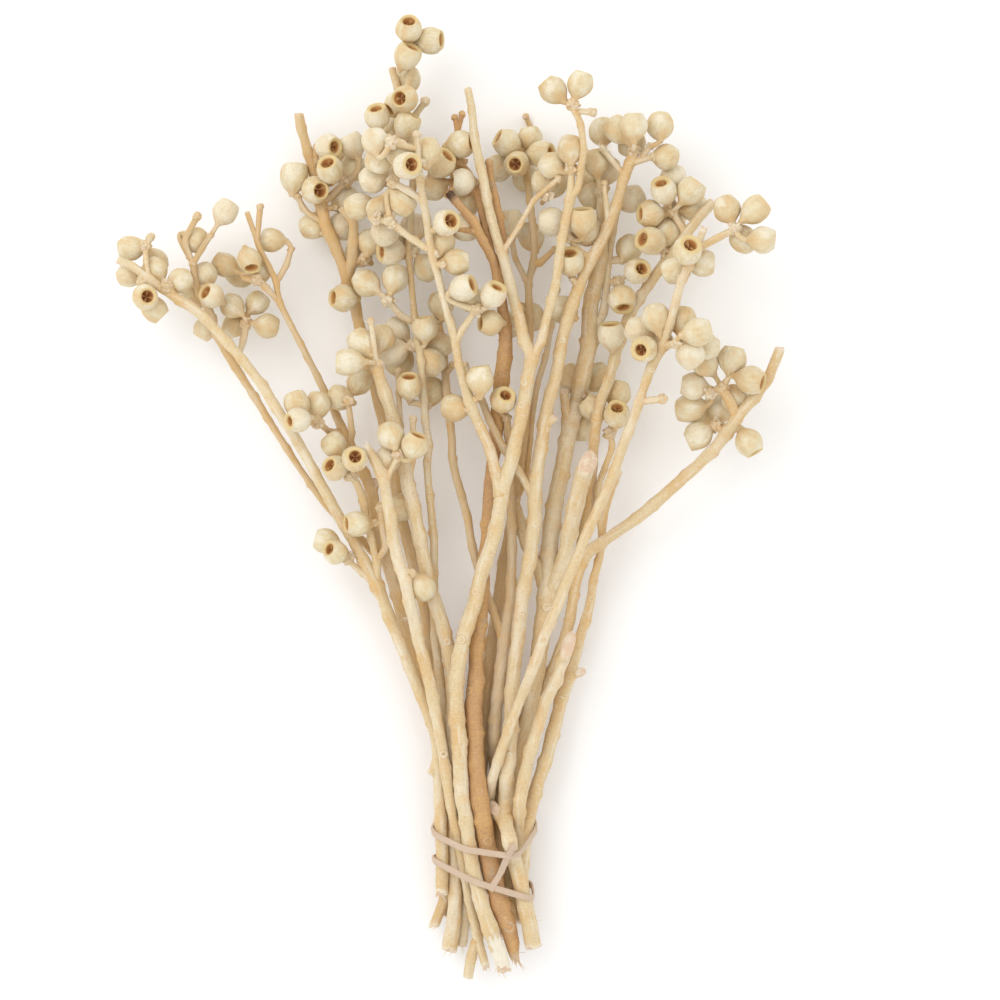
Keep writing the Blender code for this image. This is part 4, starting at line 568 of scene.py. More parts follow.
         [(664, 191, 0.55, 115), (691, 191, 0.1, 50), (694, 208, -0.3), (650, 214, 0.35, 180),
          (672, 217, -0.4), (673, 180, -0.3)]),
        ([(664, 264), (664, 250)], (2.8, 3.0), 1, [(651, 241, 0.6, 170), (667, 234, -0.3, 60)]),
        ([(621, 340), (613, 350)], (2.8, 2.8), 0, [(611, 335, 0.35, 95)]),
    ],
    # The branch behind on the right, with a short cut fork that starts at the tie.
    "right_back_branch": [
        ([(523, 920, 3), (521, 890), (523, 855, 4), (529, 815), (539, 780), (546, 760), (551, 740),
          (556, 720, -3), (561, 700), (568, 682), (573, 665), (579, 640), (586, 620, -7), (591, 600),
          (593, 580), (599, 560), (602, 540), (603, 520), (608, 500), (615, 480), (620, 470, -6)],
         (6.0, 6.0, 6.0, 6.1, 5.4, 4.0, 3.5, 3.2)),
        ([(521, 862), (518, 830), (520, 800), (524, 780), (528, 760), (534, 740), (540, 720), (546, 700),
          (556, 680), (561, 665), (568, 645)], (5.6, 5.8), 4),
        ([(572, 676), (581, 672)], (4.4, 4.4), 1),
        ([(603, 540), (597, 490), (606, 464), (613, 447), (609, 433)], (3.2, 2.8), 1,
         [(617, 415, 0.75, 90), (618, 394, -0.3, 80)]),
    ],
    # The branch at the back of the middle, with a full head of six nuts.
    "back_centre_branch": [
        ([(478, 925, -8), (480, 890), (478, 850, -7), (480, 780), (484, 735), (487, 698), (492, 640),
          (499, 600, -13), (501, 580), (504, 560), (512, 520), (520, 470), (525, 430), (530, 340, -17),
          (529, 301), (528, 282), (534, 262), (534, 238), (530, 200), (525, 160, -16)],
         (5.0, 5.2, 6.0, 5.8, 5.6, 4.4, 3.5, 3.3, 3.2, 3.2), 0,
         [(507, 143, 0.3, 150), (530, 138, -0.05, 95), (541, 154, 0.45, 0), (517, 164, 0.97),
          (499, 168, -0.1, 200), (525, 177, -0.4)]),
        ([(528, 284), (515, 259), (512, 240)], (2.8, 2.6), 0, [(511, 223, -0.1, 95)]),
        ([(526, 162), (531, 128), (526, 117)], (2.6, 2.6), -8),
        ([(534, 266), (541, 262), (554, 250)], (3.2, 2.8), 1),
        ([(534, 246), (533, 243)], (2.6, 2.6), 0, [(531, 237, -0.4)]),
        ([(529, 312), (530, 315)], (2.6, 2.6), 0, [(531, 316, -0.4)]),
        ([(520, 500), (526, 480), (530, 440), (532, 415), (537, 385), (546, 356), (552, 320),
          (557, 290)], (3.0, 2.6), -1),
    ],
}


def stations(points):
    """The distance along a run of points, by their first two coordinates."""
    steps = np.diff(points[:, :2], axis=0)
    return np.concatenate(([0.0], np.cumsum(np.hypot(steps[:, 0], steps[:, 1]))))


def places_at(points, run, spots):
    """The places at some spots along a path, from its points and how far along it each one is."""
    return np.column_stack([np.interp(spots, run, column) for column in points.T])


def flat(places):
    """Places of the grid as points at depth 0."""
    return np.array([(*place[:2], 0.0) for place in places])


def nearest_on(points, place):
    """The nearest point of a run of points: its segment, its share of the segment, and how far it is."""
    start = points[:-1, :2]
    run = points[1:, :2] - start
    share = np.clip(((place - start) * run).sum(1) / (run * run).sum(1), 0.0, 1.0)
    away = np.hypot(*(start + share[:, None] * run - place).T)
    segment = int(away.argmin())
    return segment, float(share[segment]), float(away[segment])


def main_points(places):
    """A main stem's points. Depths that aren't given follow from their neighbours along the stem."""
    points = flat(places)
    known = [index for index, place in enumerate(places) if len(place) == 3]
    run = stations(points)
    points[:, 2] = np.interp(run, run[known], [places[index][2] for index in known])
    return points


def side_points(places, rise, older):
    """A side shoot's points, and its root: the nearest point on the older shoots of its branch."""
    points = flat(places)
    found = [nearest_on(part["points"], points[0, :2]) for part in older]
    parent = int(np.argmin([item[2] for item in found]))
    segment, share = found[parent][:2]
    below, above = older[parent]["points"][segment:segment + 2]
    points[0] = below + share * (above - below)
    run = stations(points)
    points[:, 2] = points[0, 2] + rise * run / run[-1]
    return points, (parent, segment, share)


def nut_seats(hub, nuts):
    """The middle of each nut on a hub, and the way its mouth faces as (right, up, out of the picture)."""
    middles, ways = [], []
    for x, y, lean, *heading in nuts:
        turn = math.radians(heading[0]) if heading else math.atan2(hub[1] - y, x - hub[0])
        level = math.sqrt(1.0 - lean * lean)
        middles.append((x, y, hub[2] + NUT_LIFT * lean))
        ways.append((level * math.cos(turn), level * math.sin(turn), lean))
    return np.array(middles).reshape(-1, 3), np.array(ways).reshape(-1, 3)


def grow(name, number, shoots):
    """The shoots of one branch with their points, radii and roots, and their nuts with the ways they face."""
    grown = []
    for part in shoots:
        if grown:
            points, root = side_points(part["places"], part["rise"], grown)
        else:
            points, root = main_points(part["places"]), None
        run = stations(points)
        steps = np.linspace(0.0, run[-1], len(part["thick"]))
        radii = 0.5 * np.interp(run, steps, part["thick"])
        nuts, ways = nut_seats(points[-1], part["nuts"])
        grown.append({"branch": name, "number": number, "places": part["places"], "points": points,
                      "radii": radii, "root": root, "nuts": nuts, "ways": ways})
    return grown


def stand_in_balls(shoots):
    """Balls along every shoot, stalk and nut: (low point, high point, share, radius, branch, kind, body)."""
    balls = []
    first = 0
    for part in shoots:
        points, nuts = part["points"], part["nuts"]
        run = stations(points)
        spots = np.linspace(0.0, run[-1], max(2, int(run[-1] / BALL_SPACING) + 2))
        segment = np.clip(np.searchsorted(run, spots, side="right") - 1, 0, len(run) - 2)
        share = (spots - run[segment]) / (run[segment + 1] - run[segment])
        radius = np.interp(spots, run, part["radii"])
        for index in range(len(spots)):
            low = first + segment[index]
            balls.append((low, low + 1, share[index], radius[index], part["number"], STEM, first))
        hub = first + len(points) - 1
        for index in range(len(nuts)):
            own = hub + 1 + index
            for share_out, size in STALK_BALLS:
                balls.append((hub, own, share_out, size * STALK_WIDTH, part["number"], STALK, own))
            balls.append((hub, own, 1.0, 0.5 * NUT_WIDTH, part["number"], NUT, own))
        first = hub + 1 + len(nuts)
    return np.array(balls)


def close_pairs(spot, radius, family, kind):
    """Pairs of balls that overlap seen from above, with the difference in depth that parts them.

    Balls of two branches keep the clearance. Within a branch a nut keeps off the other nuts and the stems.
    """
    first, second, need = [], [], []
    for index in range(len(spot) - 1):
        rest = slice(index + 1, None)
        across = np.hypot(*(spot[rest, :2] - spot[index, :2]).T) * GRID_STEP
        reach = radius[rest] + radius[index]
        foreign = family[rest] != family[index]
        reach = np.where(foreign, reach + CLEARANCE, reach + NUT_GAP)
        apart = (kind[rest] + kind[index] >= NUT) & (kind[rest] != STALK) & (kind[index] != STALK)
        near = (across < reach) & (foreign | apart)
        found = np.nonzero(near)[0]
        first.append(np.full(len(found), index))
        second.append(found + index + 1)
        need.append(np.sqrt(reach[found] ** 2 - across[found] ** 2))
    return np.concatenate(first), np.concatenate(second), np.concatenate(need)


def sides_kept(rise, one, two, kind, body):
    """Which ball of each pair stays on top: 1 for the first and -1 for the second.

    It is the one that lies higher in the layout. A nut stays on one side of a whole stem, by their mean.
    """
    _, group = np.unique(body[one] * (body.max() + 1) + body[two], return_inverse=True)
    mean = np.bincount(group, rise) / np.bincount(group)
    with_nut = (kind[one] == NUT) | (kind[two] == NUT)
    return np.where(np.where(with_nut, mean[group], rise) >= 0.0, 1.0, -1.0)


def springs(shoots):
    """Links between neighbouring points with their stiffness, and the roots that side shoots hold on to."""
    links, stiffness, roots, starts = [], [], [], {}
    first = 0
    for part in shoots:
        count, nuts = len(part["points"]), len(part["nuts"])
        hub = first + count - 1
        links += [(step, step + 1) for step in range(first, hub)]
        links += [(hub, hub + 1 + index) for index in range(nuts)]
        stiffness += [STEM_STIFFNESS] * (count - 1) + [STALK_STIFFNESS] * nuts
        siblings = starts.setdefault(part["branch"], [])
        siblings.append(first)
        if part["root"]:
            parent, segment, share = part["root"]
            roots.append((first, siblings[parent] + segment, share))
        first += count + nuts
    return np.array(links), np.array(stiffness), roots


def bend_clear(shoots):
    """Bends the branches apart in depth alone, until none shares space with another, with a snug tie.

    In each turn the tied rows draw together, every bend spreads to its neighbours, and each pair of balls
    that is too close moves apart. The last turns only move pairs apart.
    """
    places = np.concatenate([np.vstack((part["points"], part["nuts"])) for part in shoots])
    balls = stand_in_balls(shoots)
    low, high, family, kind, body = (balls[:, column].astype(int) for column in (0, 1, 4, 5, 6))
    share, radius = balls[:, 2], balls[:, 3]
    spot = places[low] * (1.0 - share)[:, None] + places[high] * share[:, None]
    one, two, need = close_pairs(spot, radius, family, kind)
    side = sides_kept(spot[one, 2] - spot[two, 2], one, two, kind, body)
    links, stiffness, roots = springs(shoots)
    held = np.maximum(np.bincount(links.ravel(), np.repeat(stiffness, 2), len(places)), 0.5)
    tied = (places[:, 1] > TIE_ROWS[0]) & (places[:, 1] < TIE_ROWS[1])
    start = places[:, 2].copy()
    depth = start.copy()
    for turn in range(BENDING_TURNS + PARTING_TURNS):
        if turn < BENDING_TURNS:
            depth[tied] *= 1.0 - TIE_PULL
            moved = depth - start
            change = stiffness * (moved[links[:, 1]] - moved[links[:, 0]])
            pull = np.bincount(links[:, 0], change, len(depth)) - np.bincount(links[:, 1], change, len(depth))
            depth += 0.5 * pull / held
        ball = depth[low] * (1.0 - share) + depth[high] * share
        short = np.maximum(need - side * (ball[one] - ball[two]), 0.0)
        push, shared = np.zeros(len(depth)), np.zeros(len(depth))
        for index, sign in ((one, 1.0), (two, -1.0)):
            for carrier, part_share in ((low, 1.0 - share), (high, share)):
                amount = part_share[index] * (short > SMALLEST_PUSH)
                push += np.bincount(carrier[index], sign * side * short * amount, len(depth))
                shared += np.bincount(carrier[index], amount, len(depth))
        depth += 0.5 * push / np.maximum(shared, 1e-6) * np.minimum(1.0, 2.0 * shared)
        for root, below, part_share in roots:
            carried = depth[below] * (1.0 - part_share) + depth[below + 1] * part_share
            gap = 0.5 * (depth[root] - carried)
            depth[below] += gap * (1.0 - part_share)
            depth[below + 1] += gap * part_share
            depth[root] = depth[below] * (1.0 - part_share) + depth[below + 1] * part_share
    first = 0
    for part in shoots:
        for key in ("points", "nuts"):
            last = first + len(part[key])
            part[key][:, 2] = depth[first:last]
            first = last


def placed(points):
    """Grid places with depths, in millimetres in the part's own frame.

    The sideways places narrow a little with height, so that each one shows where the grid has it when it is
    seen from VIEW_DISTANCE above the middle of the grid.
    """
    x = (points[:, 0] - GRID_MIDDLE[0]) * GRID_STEP
    y = (GRID_MIDDLE[1] - points[:, 1]) * GRID_STEP
    rise = points[:, 2] + SLOPE_ACROSS * x + SLOPE_ALONG * y
    narrowing = 1.0 - rise / VIEW_DISTANCE
    return np.column_stack((x * narrowing + SHIFT[0], y * narrowing + SHIFT[1], rise + REST_HEIGHT))


def unit(vectors):
    """The same directions at length one."""
    return vectors / np.linalg.norm(vectors, axis=-1, keepdims=True)


def tied_surface(shoots, margin):
    """Points all round the stems near the tie, in millimetres, a margin off their surface."""
    circle = rounded(1.0, 0.0, angles_round(HULL_STEPS))[:, (0, 2, 1)]
    surface = []
    for part in shoots:
        run = stations(part["points"])
        spots = np.arange(0.0, run[-1], 1.0)
        grid = places_at(part["points"], run, spots)
        radii = ROUNDING * np.interp(spots, run, part["radii"]) + margin
        near = (grid[:, 1] > TIE_ROWS[0]) & (grid[:, 1] < TIE_ROWS[1])
        middles = placed(grid[near])
        surface.append((middles[:, None] + radii[near][:, None, None] * circle).reshape(-1, 3))
    return np.concatenate(surface)


def turn_height(turn, x, z):
    """Where the leaning plane of one turn of the band lies along the bunch, in millimetres."""
    row, lean_across, lean_depth = turn
    middle = placed(flat([(TIE_MIDDLE, row)]))[0]
    return middle[1] - lean_across * (x - middle[0]) - lean_depth * GRID_STEP * (z - middle[2])


def outline_round(spots):
    """The tight outline round a set of flat points: their convex hull, taken anticlockwise."""
    spots = sorted(set(map(tuple, spots)))
    halves = []
    for run in (spots, spots[::-1]):
        half = []
        for spot in run:
            while len(half) > 1 and turns_right(half[-2], half[-1], spot):
                half.pop()
            half.append(spot)
        halves += half[:-1]
    return np.array(halves)


def turns_right(first, second, third):
    """Whether three points turn clockwise, or run straight on."""
    across = (second[0] - first[0]) * (third[1] - first[1])
    return across - (second[1] - first[1]) * (third[0] - first[0]) <= 0.0


def band_path(surface, turn):
    """The middle line of one turn of the band: it hugs the tied stems in its own leaning plane."""
    away = np.abs(surface[:, 1] - turn_height(turn, surface[:, 0], surface[:, 2]))
    outline = outline_round(surface[away < BAND_REACH][:, (0, 2)])
    closed = np.vstack((outline, outline[:1]))
    run = stations(closed)
    x, z = places_at(closed, run, np.arange(BAND_STEPS) * run[-1] / BAND_STEPS).T
    return np.column_stack((x, turn_height(turn, x, z), z))


def grown_bunch():
    """Every shoot of the bunch with its branch's number, bent clear of the others."""
    shoots = []
    for number, (name, rows) in enumerate(BRANCHES.items()):
        shoots += grow(name, number, [shoot(*row) for row in rows])
    bend_clear(shoots)
    return shoots


def angles_round(count):
    """Even angles all the way round."""
    return np.arange(count) * 2.0 * math.pi / count


def rounded(radius, height, theta):
    """Points round an upright line: the radius times each angle's cosine and sine, and the height."""
    return np.stack(np.broadcast_arrays(radius * np.cos(theta), radius * np.sin(theta), height), axis=-1)


def round_ways(theta, side, up):
    """Directions round a path, square to it: the cosine of each angle to the side and its sine up."""
    return np.cos(theta)[:, None] * side[..., None, :] + np.sin(theta)[:, None] * up[..., None, :]


def own_patch(draw):
    """A skin's own start in the wood's pattern."""
    return draw.uniform(-PATTERN_SPREAD, PATTERN_SPREAD, 3)


def lengths(points):
    """The distance along a run of points."""
    return np.concatenate(([0.0], np.cumsum(np.linalg.norm(np.diff(points, axis=0), axis=1))))


def eased(points, step, blur):
    """The path at even steps with rounded corners: its straight runs, blurred along their length.

    Each place is the mean of its neighbours, weighted by a bell curve. The path is mirrored through its ends,
    which stay where they are.
    """
    run = lengths(points)
    count = max(4, int(run[-1] / step) + 2)
    spots = np.linspace(0.0, run[-1], count)
    path = places_at(points, run, spots)
    reach = min(count - 1, max(1, int(round(2.5 * blur / spots[1]))))
    before = 2.0 * path[0] - path[reach:0:-1]
    after = 2.0 * path[-1] - path[-2:-reach - 2:-1]
    padded = np.concatenate((before, path, after))
    weights = np.exp(-0.5 * (np.arange(-reach, reach + 1) * spots[1] / blur) ** 2)
    weights /= weights.sum()
    return np.column_stack([np.convolve(column, weights, mode="valid") for column in padded.T]), spots


def frames(path):
    """Directions along a path, and two square to each: one to the side, and one up from a fixed upright."""
    steps = unit(np.diff(path, axis=0))
    along = unit(np.vstack((steps[:1], steps[:-1] + steps[1:], steps[-1:])))
    upright = np.array((0.0, 0.0, 1.0)) if np.abs(along[:, 2]).max() < 0.9 else np.array((0.31, 0.95, 0.0))
    side = unit(np.cross(along, upright))
    return along, side, np.cross(side, along)


def lumps(draw, places, wavelength):
    """Smooth bumps from about -1 to 1: the sum of seven plane waves of one length in seeded directions."""
    waves = 7
    ways = unit(draw.normal(size=(waves, 3))) * 2.0 * math.pi / wavelength
    shifts = draw.uniform(0.0, 2.0 * math.pi, waves)
    return np.sin(places @ ways.T + shifts).sum(-1) * 0.8 / math.sqrt(waves)


def bell(distance, width):
    """A bell curve: one at no distance, and near nothing past twice the width."""
    return np.exp(-(distance / width) ** 2)


def ease(value):
    """A smooth step from 0 to 1: three squares less two cubes of the clipped value."""
    value = np.clip(value, 0.0, 1.0)
    return value * value * (3.0 - 2.0 * value)


def turned(theta, heading):
    """How far each angle is from a heading, the short way round."""
    return np.abs((theta - heading + math.pi) % (2.0 * math.pi) - math.pi)


def skin(rings, grain, finish, tone, kinds, joined=False):
    """A closed skin over rings of points: quads between the rings, and a fan to a point at each end.

    Where it is joined, the last ring meets the first and there are no fans. rings, grain and finish are
    (rings, sides, 3), and kinds has the finish of the faces next to each ring. The faces are turned round
    where the skin's volume, summed over its triangles, is negative.
    """
    count, sides = rings.shape[:2]
    pool = [values.reshape(-1, 3) for values in (rings, grain, finish)]
    ring, side = np.meshgrid(np.arange(count if joined else count - 1), np.arange(sides), indexing="ij")
    after, ahead = (ring + 1) % count * sides, (side + 1) % sides
    ring = ring * sides
    quads = np.stack((ring + side, ring + ahead, after + ahead, after + side), -1).reshape(-1, 4)
    fans = np.zeros((0, 3), int)
    kinds = np.broadcast_to(kinds, count)
    kind = np.repeat(kinds, sides)
    if not joined:
        pool = [np.concatenate((flat_values, values[:1].mean(1), values[-1:].mean(1)))
                for flat_values, values in zip(pool, (rings, grain, finish))]
        turn, last = np.arange(sides), (count - 1) * sides
        ahead = (turn + 1) % sides
        start = np.stack((ahead, turn, np.full(sides, count * sides)), axis=-1)
        end = np.stack((last + turn, last + ahead, np.full(sides, count * sides + 1)), axis=-1)
        fans = np.concatenate((start, end))
        kind = np.concatenate((kind[sides:], np.repeat(kinds[[0, -1]], sides)))
    corners = (pool[0] - pool[0][0])[np.concatenate((quads[:, :3], quads[:, (0, 2, 3)], fans))]
    if np.einsum("ij,ij->", corners[:, 0], np.cross(corners[:, 1], corners[:, 2])) < 0.0:
        quads, fans = quads[:, ::-1], fans[:, ::-1]
    return {"points": pool[0], "grain": pool[1], "finish": pool[2], "tone": np.full(len(pool[0]), tone),
            "quads": quads, "fans": fans, "kind": kind}


def wood(draw, points, radii, nodes, root, foot, tip, tone, dark=0.0, peeled=0.0):
    """A stem or twig: a round tube along its eased path, with swollen nodes, lumps and closed ends.

    Its radius is the tapering one times a factor: slow lumps, a bell curve at each node, a ledge to alternate
    sides of the nodes, and a flare over the first stretch past its parent's radius. foot and tip are cuts:
    (slope of the cut, height of its torn edge, finish of its face). A cut slides the last rings along the
    path by a wave round the stem, and its face narrows to the middle in rings. Where the bark is peeled, the
    wood lies a little lower, in grooves along the grain.
    """
    path, spots = eased(points, WOOD_STEP, WOOD_BLUR)
    faces = len(FACE_SHARES)
    share, index = np.ones(len(path)), np.arange(len(path))
    if foot:
        share, index = np.concatenate((FACE_SHARES[::-1], share)), np.pad(index, (faces, 0))
    if tip:
        share, index = np.concatenate((share, FACE_SHARES)), np.pad(index, (0, faces), mode="edge")
    path, along, side, up, spots = (item[index] for item in (path, *frames(path), spots))
    radius = np.interp(spots, lengths(points), radii)
    middle = radius.mean()
    sides = int(np.clip(round(2.0 * math.pi * middle / SIDE_SPACING), *WOOD_SIDES))
    theta = angles_round(sides)
    grain = rounded((share * radius)[:, None], spots[:, None], theta) + own_patch(draw)
    factor = np.ones(grain.shape[:2])
    for height, wavelength in WOOD_LUMPS:
        factor += height * lumps(draw, grain, wavelength)
    factor += 0.03 * np.sin(2.0 * theta + draw.uniform(0.0, 6.0)) * lumps(draw, grain, 40.0)
    finish = np.zeros_like(grain)
    way = draw.choice((-1.0, 1.0))
    for node in nodes:
        past = spots - node
        away = turned(theta, 0.5 * math.pi * (1.0 - way) + draw.normal(0.0, 0.5))
        ledge = draw.uniform(0.3, 1.0) / (middle + 0.8) * bell(past / np.where(past > 0.0, 0.8, 2.0), 1.0)
        factor += ((0.04 + 0.08 * draw.random()) * bell(past, 0.9 * middle + 0.8))[:, None]
        factor += ledge[:, None] * bell(away, 0.6)
        finish[..., 0] += draw.uniform(0.2, 0.7) * bell(past, 2.5)[:, None] * bell(away, 1.2)
        way = -way
    if root:
        flare = bell(np.maximum(spots - 0.8 * root, 0.0), middle + 0.6)
        start = np.sqrt(np.clip(0.2 + spots / (1.4 * middle), 0.2, 1.0))
        wider = 0.4 * min(max(root / middle - 1.0, 0.0), 1.0)
        factor *= (start * (1.0 + wider * flare))[:, None]
        finish[..., 0] += 0.45 * flare[:, None]
    ring = round_ways(theta, side, up)
    rings = path[:, None] + ((share * radius)[:, None] * factor)[..., None] * ring
    kinds = np.full(len(path), BARK)
    edge_places = rounded(3.0, 0.0, theta)
    for cut, room, heading, face in ((foot, spots, -1.0, slice(0, faces)),
                                     (tip, spots[-1] - spots, 1.0, slice(-faces, None))):
        if cut is None:
            continue
        slope, torn, kind = cut
        thick = radius[face].mean()
        teeth = lumps(draw, edge_places, 3.0) + 0.5 * lumps(draw, edge_places, 1.4)
        slide = torn * teeth - slope * np.sin(theta) * thick
        slide = share[:, None] * slide + (0.3 * thick - 0.3 * torn) * (1.0 - share[:, None] ** 2)
        weight = ease(1.0 - room / (1.5 * np.abs(slide).max() + 0.4))
        rings += (heading * weight[:, None] * slide)[..., None] * along[:, None]
        bare = ease(1.0 - room / (0.6 + 2.0 * torn))[:, None] * min(1.0, torn)
        finish[..., 1] = np.maximum(finish[..., 1], bare)
        kinds[face] = kind
    if peeled:
        edge = peeled + 2.5 * lumps(draw, edge_places, 2.4)
        bare = ease((edge - spots[:, None]) / 0.6)
        groove = 0.09 * lumps(draw, grain * (1.0, 1.0, 0.08), 3.0)
        rings += (bare * (groove - 0.13) * radius[:, None])[..., None] * ring * share[:, None, None]
        finish[..., 1] = np.maximum(finish[..., 1], bare)
    finish[..., 2] = dark * ease(1.4 - (spots[-1] - spots) / 4.0)[:, None]
    return skin(rings, grain, finish, tone, kinds)


def knob(draw, centre, radius, tone, rough, stain=0.2):
    """A lumpy hub: a ball whose radius swells and shrinks by smooth bumps of two sizes."""
    phi = np.linspace(0.0, math.pi, KNOB_RINGS + 2)[1:-1, None]
    way = rounded(np.sin(phi), np.cos(phi), angles_round(KNOB_SIDES))
    grain = radius * way + own_patch(draw)
    swell = 1.0 + rough * lumps(draw, grain, 2.6) + 0.6 * rough * lumps(draw, grain, 1.3)
    finish = np.zeros_like(way)
    finish[..., 0] = stain
    finish[..., 1] = 0.45 * ease(0.5 + lumps(draw, grain, 1.5))
    return skin(centre + radius * swell[..., None] * way, grain, finish, tone, BARK)


def peg(draw, root, way, radius, length, tone):
    """The stub of a fallen stalk: a short flared tube with a dished pale end."""
    _, side, up = frames(np.array((root, root + way)))
    ring = round_ways(angles_round(PEG_SIDES), side[0], up[0])
    swell = 1.0 + 0.12 * draw.normal(size=(1, PEG_SIDES))
    middles = root + PEG_PROFILE[:, :1] * length * way
    rings = middles[:, None] + (radius * PEG_PROFILE[:, 1:] * swell)[..., None] * ring
    grain = rings - root + own_patch(draw)
    finish = np.zeros_like(rings)
    finish[2:, :, 1] = 0.6
    return skin(rings, grain, finish, tone, (BARK, BARK, BARK, BARK, CUT, CUT))


def stalk(draw, hub, middle, way, half, tone):
    """The stalk from a hub to the neck of its nut: a tube along a curve that ends the way the nut faces.

    The curve is a quadratic one: its places are the weighted means of the hub, a bend under the neck, and the
    neck, with squared weights.
    """
    neck = middle + BODY_PROFILE[1][0] * half * way
    bend = neck - 0.5 * np.linalg.norm(neck - hub) * way
    share = np.linspace(0.0, 1.0, len(STALK_WIDTHS))[:, None]
    points = (1.0 - share) ** 2 * hub + 2.0 * share * (1.0 - share) * bend + share**2 * neck
    radii = 0.5 * STALK_WIDTH * STALK_WIDTHS * draw.uniform(0.85, 1.1)
    return wood(draw, points, radii, (), 0.8, None, None, tone)


def nut(draw, middle, way, size, mouth, tone):
    """A woody nut turned about the way it faces, with an open mouth and its valves.

    Its radius is a smooth curve through the profile's points, times smooth lumps and ridges: waves round the
    axis that fade towards the rim. Inside the rim the wall drops to a floor, and radial ridges, a power of a
    cosine round the axis, rise from it to the middle as the valves.
    """
    half = 0.5 * size
    tall = draw.uniform(0.94, 1.08)
    flare = draw.uniform(-0.07, 0.07)
    profile = np.array(BODY_PROFILE) * half
    profile[:, 0] *= tall
    profile[-len(MOUTH_FLARE):, 1] += flare * half * MOUTH_FLARE
    heights = np.concatenate((np.linspace(profile[0, 0], profile[SHOULDER, 0], NECK_RINGS)[:-1],
                              np.linspace(profile[SHOULDER, 0], profile[-1, 0], BODY_RINGS)))
    rim = RIM_HEIGHT * half * tall
    drop, wall_share, mouth_share, more, shade, valve, yellow = HOLLOW_RINGS.T
    height = np.concatenate((heights, rim - drop))
    radius = np.concatenate((smooth_curve(profile[:, 0], profile[:, 1], heights),
                             wall_share * profile[-1, 1] + mouth_share * mouth * half + more))
    outside = len(heights)
    theta = angles_round(NUT_SIDES)
    valves = draw.integers(3, 5)
    ridge = np.abs(np.cos(0.5 * valves * (theta + draw.uniform(0.0, 6.0)))) ** VALVE_POWER
    lift = np.pad(valve, (outside, 0))[:, None] * ridge
    grain = rounded(0.5 * (half + radius[:, None]), height[:, None], theta) + own_patch(draw)
    lie = np.clip((height - height[0]) / (rim - height[0]), 0.0, 1.0)[:, None]
    wrinkle = sum(draw.normal(0.0, 0.5) * np.sin(waves * theta + draw.uniform(0.0, 6.0))
                  for waves in NUT_WAVES)
    factor = 1.0 + 0.03 * lumps(draw, grain, 9.0) + (0.008 + 0.04 * (1.0 - lie) ** 2) * wrinkle
    factor[outside:] = 1.0 + 0.35 * (factor[outside:] - 1.0)
    tilt = draw.normal(0.0, 0.05) * np.cos(theta + draw.uniform(0.0, 6.0)) * half
    lean = ease((height - 0.3 * half) / (0.5 * half))[:, None] * tilt
    _, side, up = frames(np.array((middle - way, middle)))
    rings = middle + (height[:, None] + lift + lean)[..., None] * way
    rings += (radius[:, None] * factor)[..., None] * round_ways(theta, side[0], up[0])
    finish = np.zeros_like(grain)
    finish[..., 0] = 0.85 * (1.0 - ease((lie - 0.10) / 0.26))
    finish[..., 1] = np.pad(yellow, (outside, 0))[:, None]
    finish[outside - 1, :, 1] = 0.3
    finish[-VALVE_RINGS:, :, 1] = 0.6 * ridge
    # Painted shade: darker down the hollow, and mostly lifted off the tops of the valves.
    finish[..., 2] = np.pad(shade, (outside, 0))[:, None] * (1.0 - 0.8 * ridge * (lift > 0.0))
    kinds = np.full(len(height), SHELL)
    kinds[outside + LIP_RINGS:] = INSIDE
    return skin(rings, grain, finish, tone, kinds)


def smooth_curve(places, values, wanted):
    """A curve through given values that never overshoots: cubics whose slopes are means of the neighbours'.

    Each slope is the harmonic mean of the straight slopes beside it, and zero where they change sign.
    """
    step = np.diff(places)
    slope = np.diff(values) / step
    product = slope[:-1] * slope[1:]
    inner = np.where(product > 0.0, 2.0 * product / np.where(product > 0.0, slope[:-1] + slope[1:], 1.0), 0.0)
    ends = np.concatenate((slope[:1], inner, slope[-1:]))
    cell = np.clip(np.searchsorted(places, wanted, side="right") - 1, 0, len(step) - 1)
    share = (wanted - places[cell]) / step[cell]
    first, second = ends[cell] * step[cell], ends[cell + 1] * step[cell]
    square, cube = share**2, share**3
    return (values[cell] * (2.0 * cube - 3.0 * square + 1.0) + first * (cube - 2.0 * square + share)
            + values[cell + 1] * (3.0 * square - 2.0 * cube) + second * (cube - square))


def scar(draw, place, along, out, radius, width, tone):
    """A leaf scar: a round patch on the stem with a raised ring and a pit in the middle.

    It is a grid of distance from its middle and angle, wrapped round the stem. Its height is a bell curve at
    the ring less one at the pit, and it sinks into the wood past the ring.
    """
    share = SCAR_RINGS
    height = 0.25 * bell(share - 0.62, 0.2) - 0.3 * bell(share, 0.22) + 0.08
    height -= 0.9 * np.maximum(share - 0.85, 0.0)
    height[-1] -= 1.2
    theta = angles_round(SCAR_SIDES)
    reach = 0.5 * width * share[:, None] * (1.0 + 0.06 * lumps(draw, rounded(1.0, 0.0, theta), 2.0))
    lengthways, angle = 0.9 * reach * np.cos(theta), reach * np.sin(theta) / radius
    scale = 0.5 * width / 2.2
    level = radius + scale * height[:, None] * (1.0 + 0.25 * draw.normal(size=(1, SCAR_SIDES)))
    turned_out = np.cos(angle)[..., None] * out + np.sin(angle)[..., None] * np.cross(along, out)
    rings = place + lengthways[..., None] * along + level[..., None] * turned_out
    grain = rings - place + own_patch(draw)
    finish = np.zeros_like(rings)
    patch = np.clip(0.75 + 0.5 * lumps(draw, grain, 3.0), 0.0, 1.0)
    finish[..., 0] = (0.9 * bell(share - 0.95, 0.16) + bell(share - 0.32, 0.14))[:, None] * patch
    finish[..., 1] = 0.75 * bell(share - 0.62, 0.14)[:, None] * patch[:, ::-1]
    finish[..., 2] = 0.75 * bell(share, 0.16)[:, None] * (draw.random() < 0.75)
    return skin(rings, grain, finish, tone, BARK)


